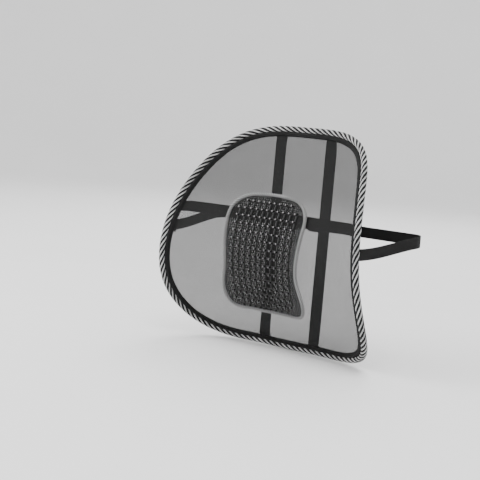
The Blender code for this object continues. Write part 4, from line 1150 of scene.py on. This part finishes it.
def pillow(shape, centre, half, rounds=(9, 16)):
    """Rounded block on the strap's own axes: a superellipsoid, |x|^5 + |y|^5 + |z|^5 = 1, stretched."""
    up = np.linspace(-math.pi / 2, math.pi / 2, rounds[0] + 2)[1:-1][:, None]
    turn = turns_of(rounds[1])[None, :]

    def soft(value):
        return np.sign(value) * np.abs(value) ** 0.4

    unit = np.stack(np.broadcast_arrays(soft(np.cos(up)) * soft(np.cos(turn)), soft(np.sin(up)),
                                        -soft(np.cos(up)) * soft(np.sin(turn))), axis=-1)
    middle = np.array([centre[0], STRAP_DEPTH + LAYER + centre[1], STRAP_REAR_HEIGHT + centre[2]])
    points = middle + unit * half
    around = np.append(turn[0], TAU)[None, :] * half[2]
    shape.grid(points, up * half[0], around, wrap=(False, True), caps=True)


def buckle_details():
    """Blank raised pad on the socket's back, and four grip ridges across the plug's handle."""
    pad = Shape()
    pillow(pad, (-0.0122, BUCKLE_HALF_DEPTH, 0), (0.0088, 0.0005, 0.0078), (9, 32))
    finish_piece(pad.build("socket_pad", [ACETAL]), "root", "black_acetal")
    ridges = Shape()
    for k in range(4):
        place = (RIDGE_PITCH * (k + 1), BUCKLE_HALF_DEPTH, 0)
        pillow(ridges, place, (0.0006, 0.0004, 0.0098 - 0.0004 * k))
    finish_piece(ridges.build("plug_ridges", [ACETAL]), "plug", "black_acetal")


def box_stitch():
    """Box and cross of stitches through the sewn fold behind the plug."""
    left, right, half = BOX_STITCH
    level = STRAP_DEPTH + 2 * LAYER - FOLD_DROP + STRAP_THICKNESS / 2
    corners = np.array([(left, -half), (right, -half), (right, half), (left, half)])
    pairs = [(0, 1), (1, 2), (2, 3), (3, 0), (0, 2), (3, 1)]
    shape = Shape()
    for a, b in pairs:
        count = round(math.dist(corners[a], corners[b]) / BOX_STITCH_PITCH)
        t = np.arange(count)[:, None] / count
        run = corners[b] - corners[a]
        first, last = corners[a] + run * (t + 0.1 / count), corners[a] + run * (t + 0.85 / count)
        start, end = (np.column_stack([at[:, 0], np.full(count, level), STRAP_REAR_HEIGHT + at[:, 1]])
                      for at in (first, last))
        stitches(shape, start, end, np.broadcast_to([0, 1.0, 0], (count, 3)), TACK_THREAD)
    finish_piece(shape.build("fold_stitches", [THREAD]), "plug", "black_thread")


def buckle_and_slider():
    buckle_details()
    box_stitch()
    softened("socket_shell", "buckle_socket", 0.00045, "root", ACETAL, "black_acetal")
    softened("plug_handle", "buckle_plug", 0.00045, "plug", ACETAL, "black_acetal")
    softened("latch_arms", "latch_fork", 0.00035, "plug", ACETAL, "black_acetal")
    softened("slider_frame", "strap_slider", 0.00045, "slider", ACETAL, "black_acetal")


# Carried-over metal inside the binding

def hidden_metal():
    for node, material in (("frame_wire", SPRING_STEEL), ("wire_ferrule", ZINC)):
        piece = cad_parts[node]
        piece.data.materials.clear()
        piece.data.materials.append(material)


# Floor, light and camera

def floor_finish():
    """Pale matt paper with the faintest unevenness."""
    made, g, shader = finish("pale paper", 0.9, Specular_IOR_Level=0.2)
    tone = g.noise(g.node("ShaderNodeTexCoord").outputs["Object"], 3.0, 3.0)
    g.put(shader.inputs["Base Color"], g.mix(tone, grey(0.80), grey(0.84)))
    return made


def floor():
    """Round pale floor that curves up into a wall all round: a profile turned about the vertical."""
    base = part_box("edge_rope")[0][2] - 0.0005
    flat, bend, wall = 4.5, 1.5, 6.0
    quarter = np.linspace(0, math.pi / 2, 12)[1:]
    reach = np.concatenate([[0.02], np.linspace(0.5, flat, 9), flat + bend * np.sin(quarter), [wall, wall]])
    rise = np.concatenate([np.zeros(10), bend - bend * np.cos(quarter), [wall / 2, wall]])
    sides = 96
    turn = turns_of(sides)
    points = np.stack([reach[:, None] * np.cos(turn), reach[:, None] * np.sin(turn),
                       np.broadcast_to(base + rise[:, None], (len(reach), sides))], axis=-1)
    shape = Shape()
    shape.grid(points, reach[:, None], turn.tolist() + [TAU], wrap=(False, True))
    shape.fan(np.arange(sides), np.array([0, 0, base]), 0)
    made = shape.build("floor", [floor_finish()])


def softbox(name, place, power):
    """Square area light, 1.8 m wide, that faces the origin."""
    data = bpy.data.lights.new(name, "AREA")
    data.shape = "RECTANGLE"
    data.size = data.size_y = 1.8
    data.energy = power
    lamp = bpy.data.objects.new(name, data)
    bpy.context.scene.collection.objects.link(lamp)
    lamp.location = place
    lamp.rotation_euler = (-Vector(place)).to_track_quat("-Z", "Y").to_euler()


def studio():
    """Large soft boxes: one to the left in front, one above and one behind, and an even pale surround."""
    softbox("key", (-1.8, -2.0, 0.9), 85)
    softbox("top", (1.2, -1.4, 2.9), 70)
    softbox("back", (-1.6, 2.4, 2.4), 70)
    world = bpy.data.worlds.new("studio")
    world.use_nodes = True
    background = world.node_tree.nodes["Background"]
    background.inputs["Color"].default_value = (1.0, 1.0, 1.0, 1)
    background.inputs["Strength"].default_value = 1.5
    bpy.context.scene.world = world


def camera():
    """Slightly above the middle and 41 degrees round from the front."""
    data = bpy.data.cameras.new("view")
    data.lens = 95.67
    data.sensor_width = 36.0
    made = bpy.data.objects.new("view", data)
    bpy.context.scene.collection.objects.link(made)
    right, up, back = (0.74963, 0.65731, 0.07748), (-0.12480, 0.02542, 0.99186), (0.64999, -0.75319, 0.10108)
    turn = Matrix([right, up, back]).transposed()
    made.matrix_world = Matrix.Translation((1.43686, -1.83207, 0.22747)) @ turn.to_4x4()
    bpy.context.scene.camera = made


camera()
studio()
floor()
edge_rope()
mat_cord()
nets()
massage_mat()
edge_binding()
for side in (-1, 1):
    back_tape(side)
cross_tape()
straps()
bartacks()
buckle_and_slider()
hidden_metal()
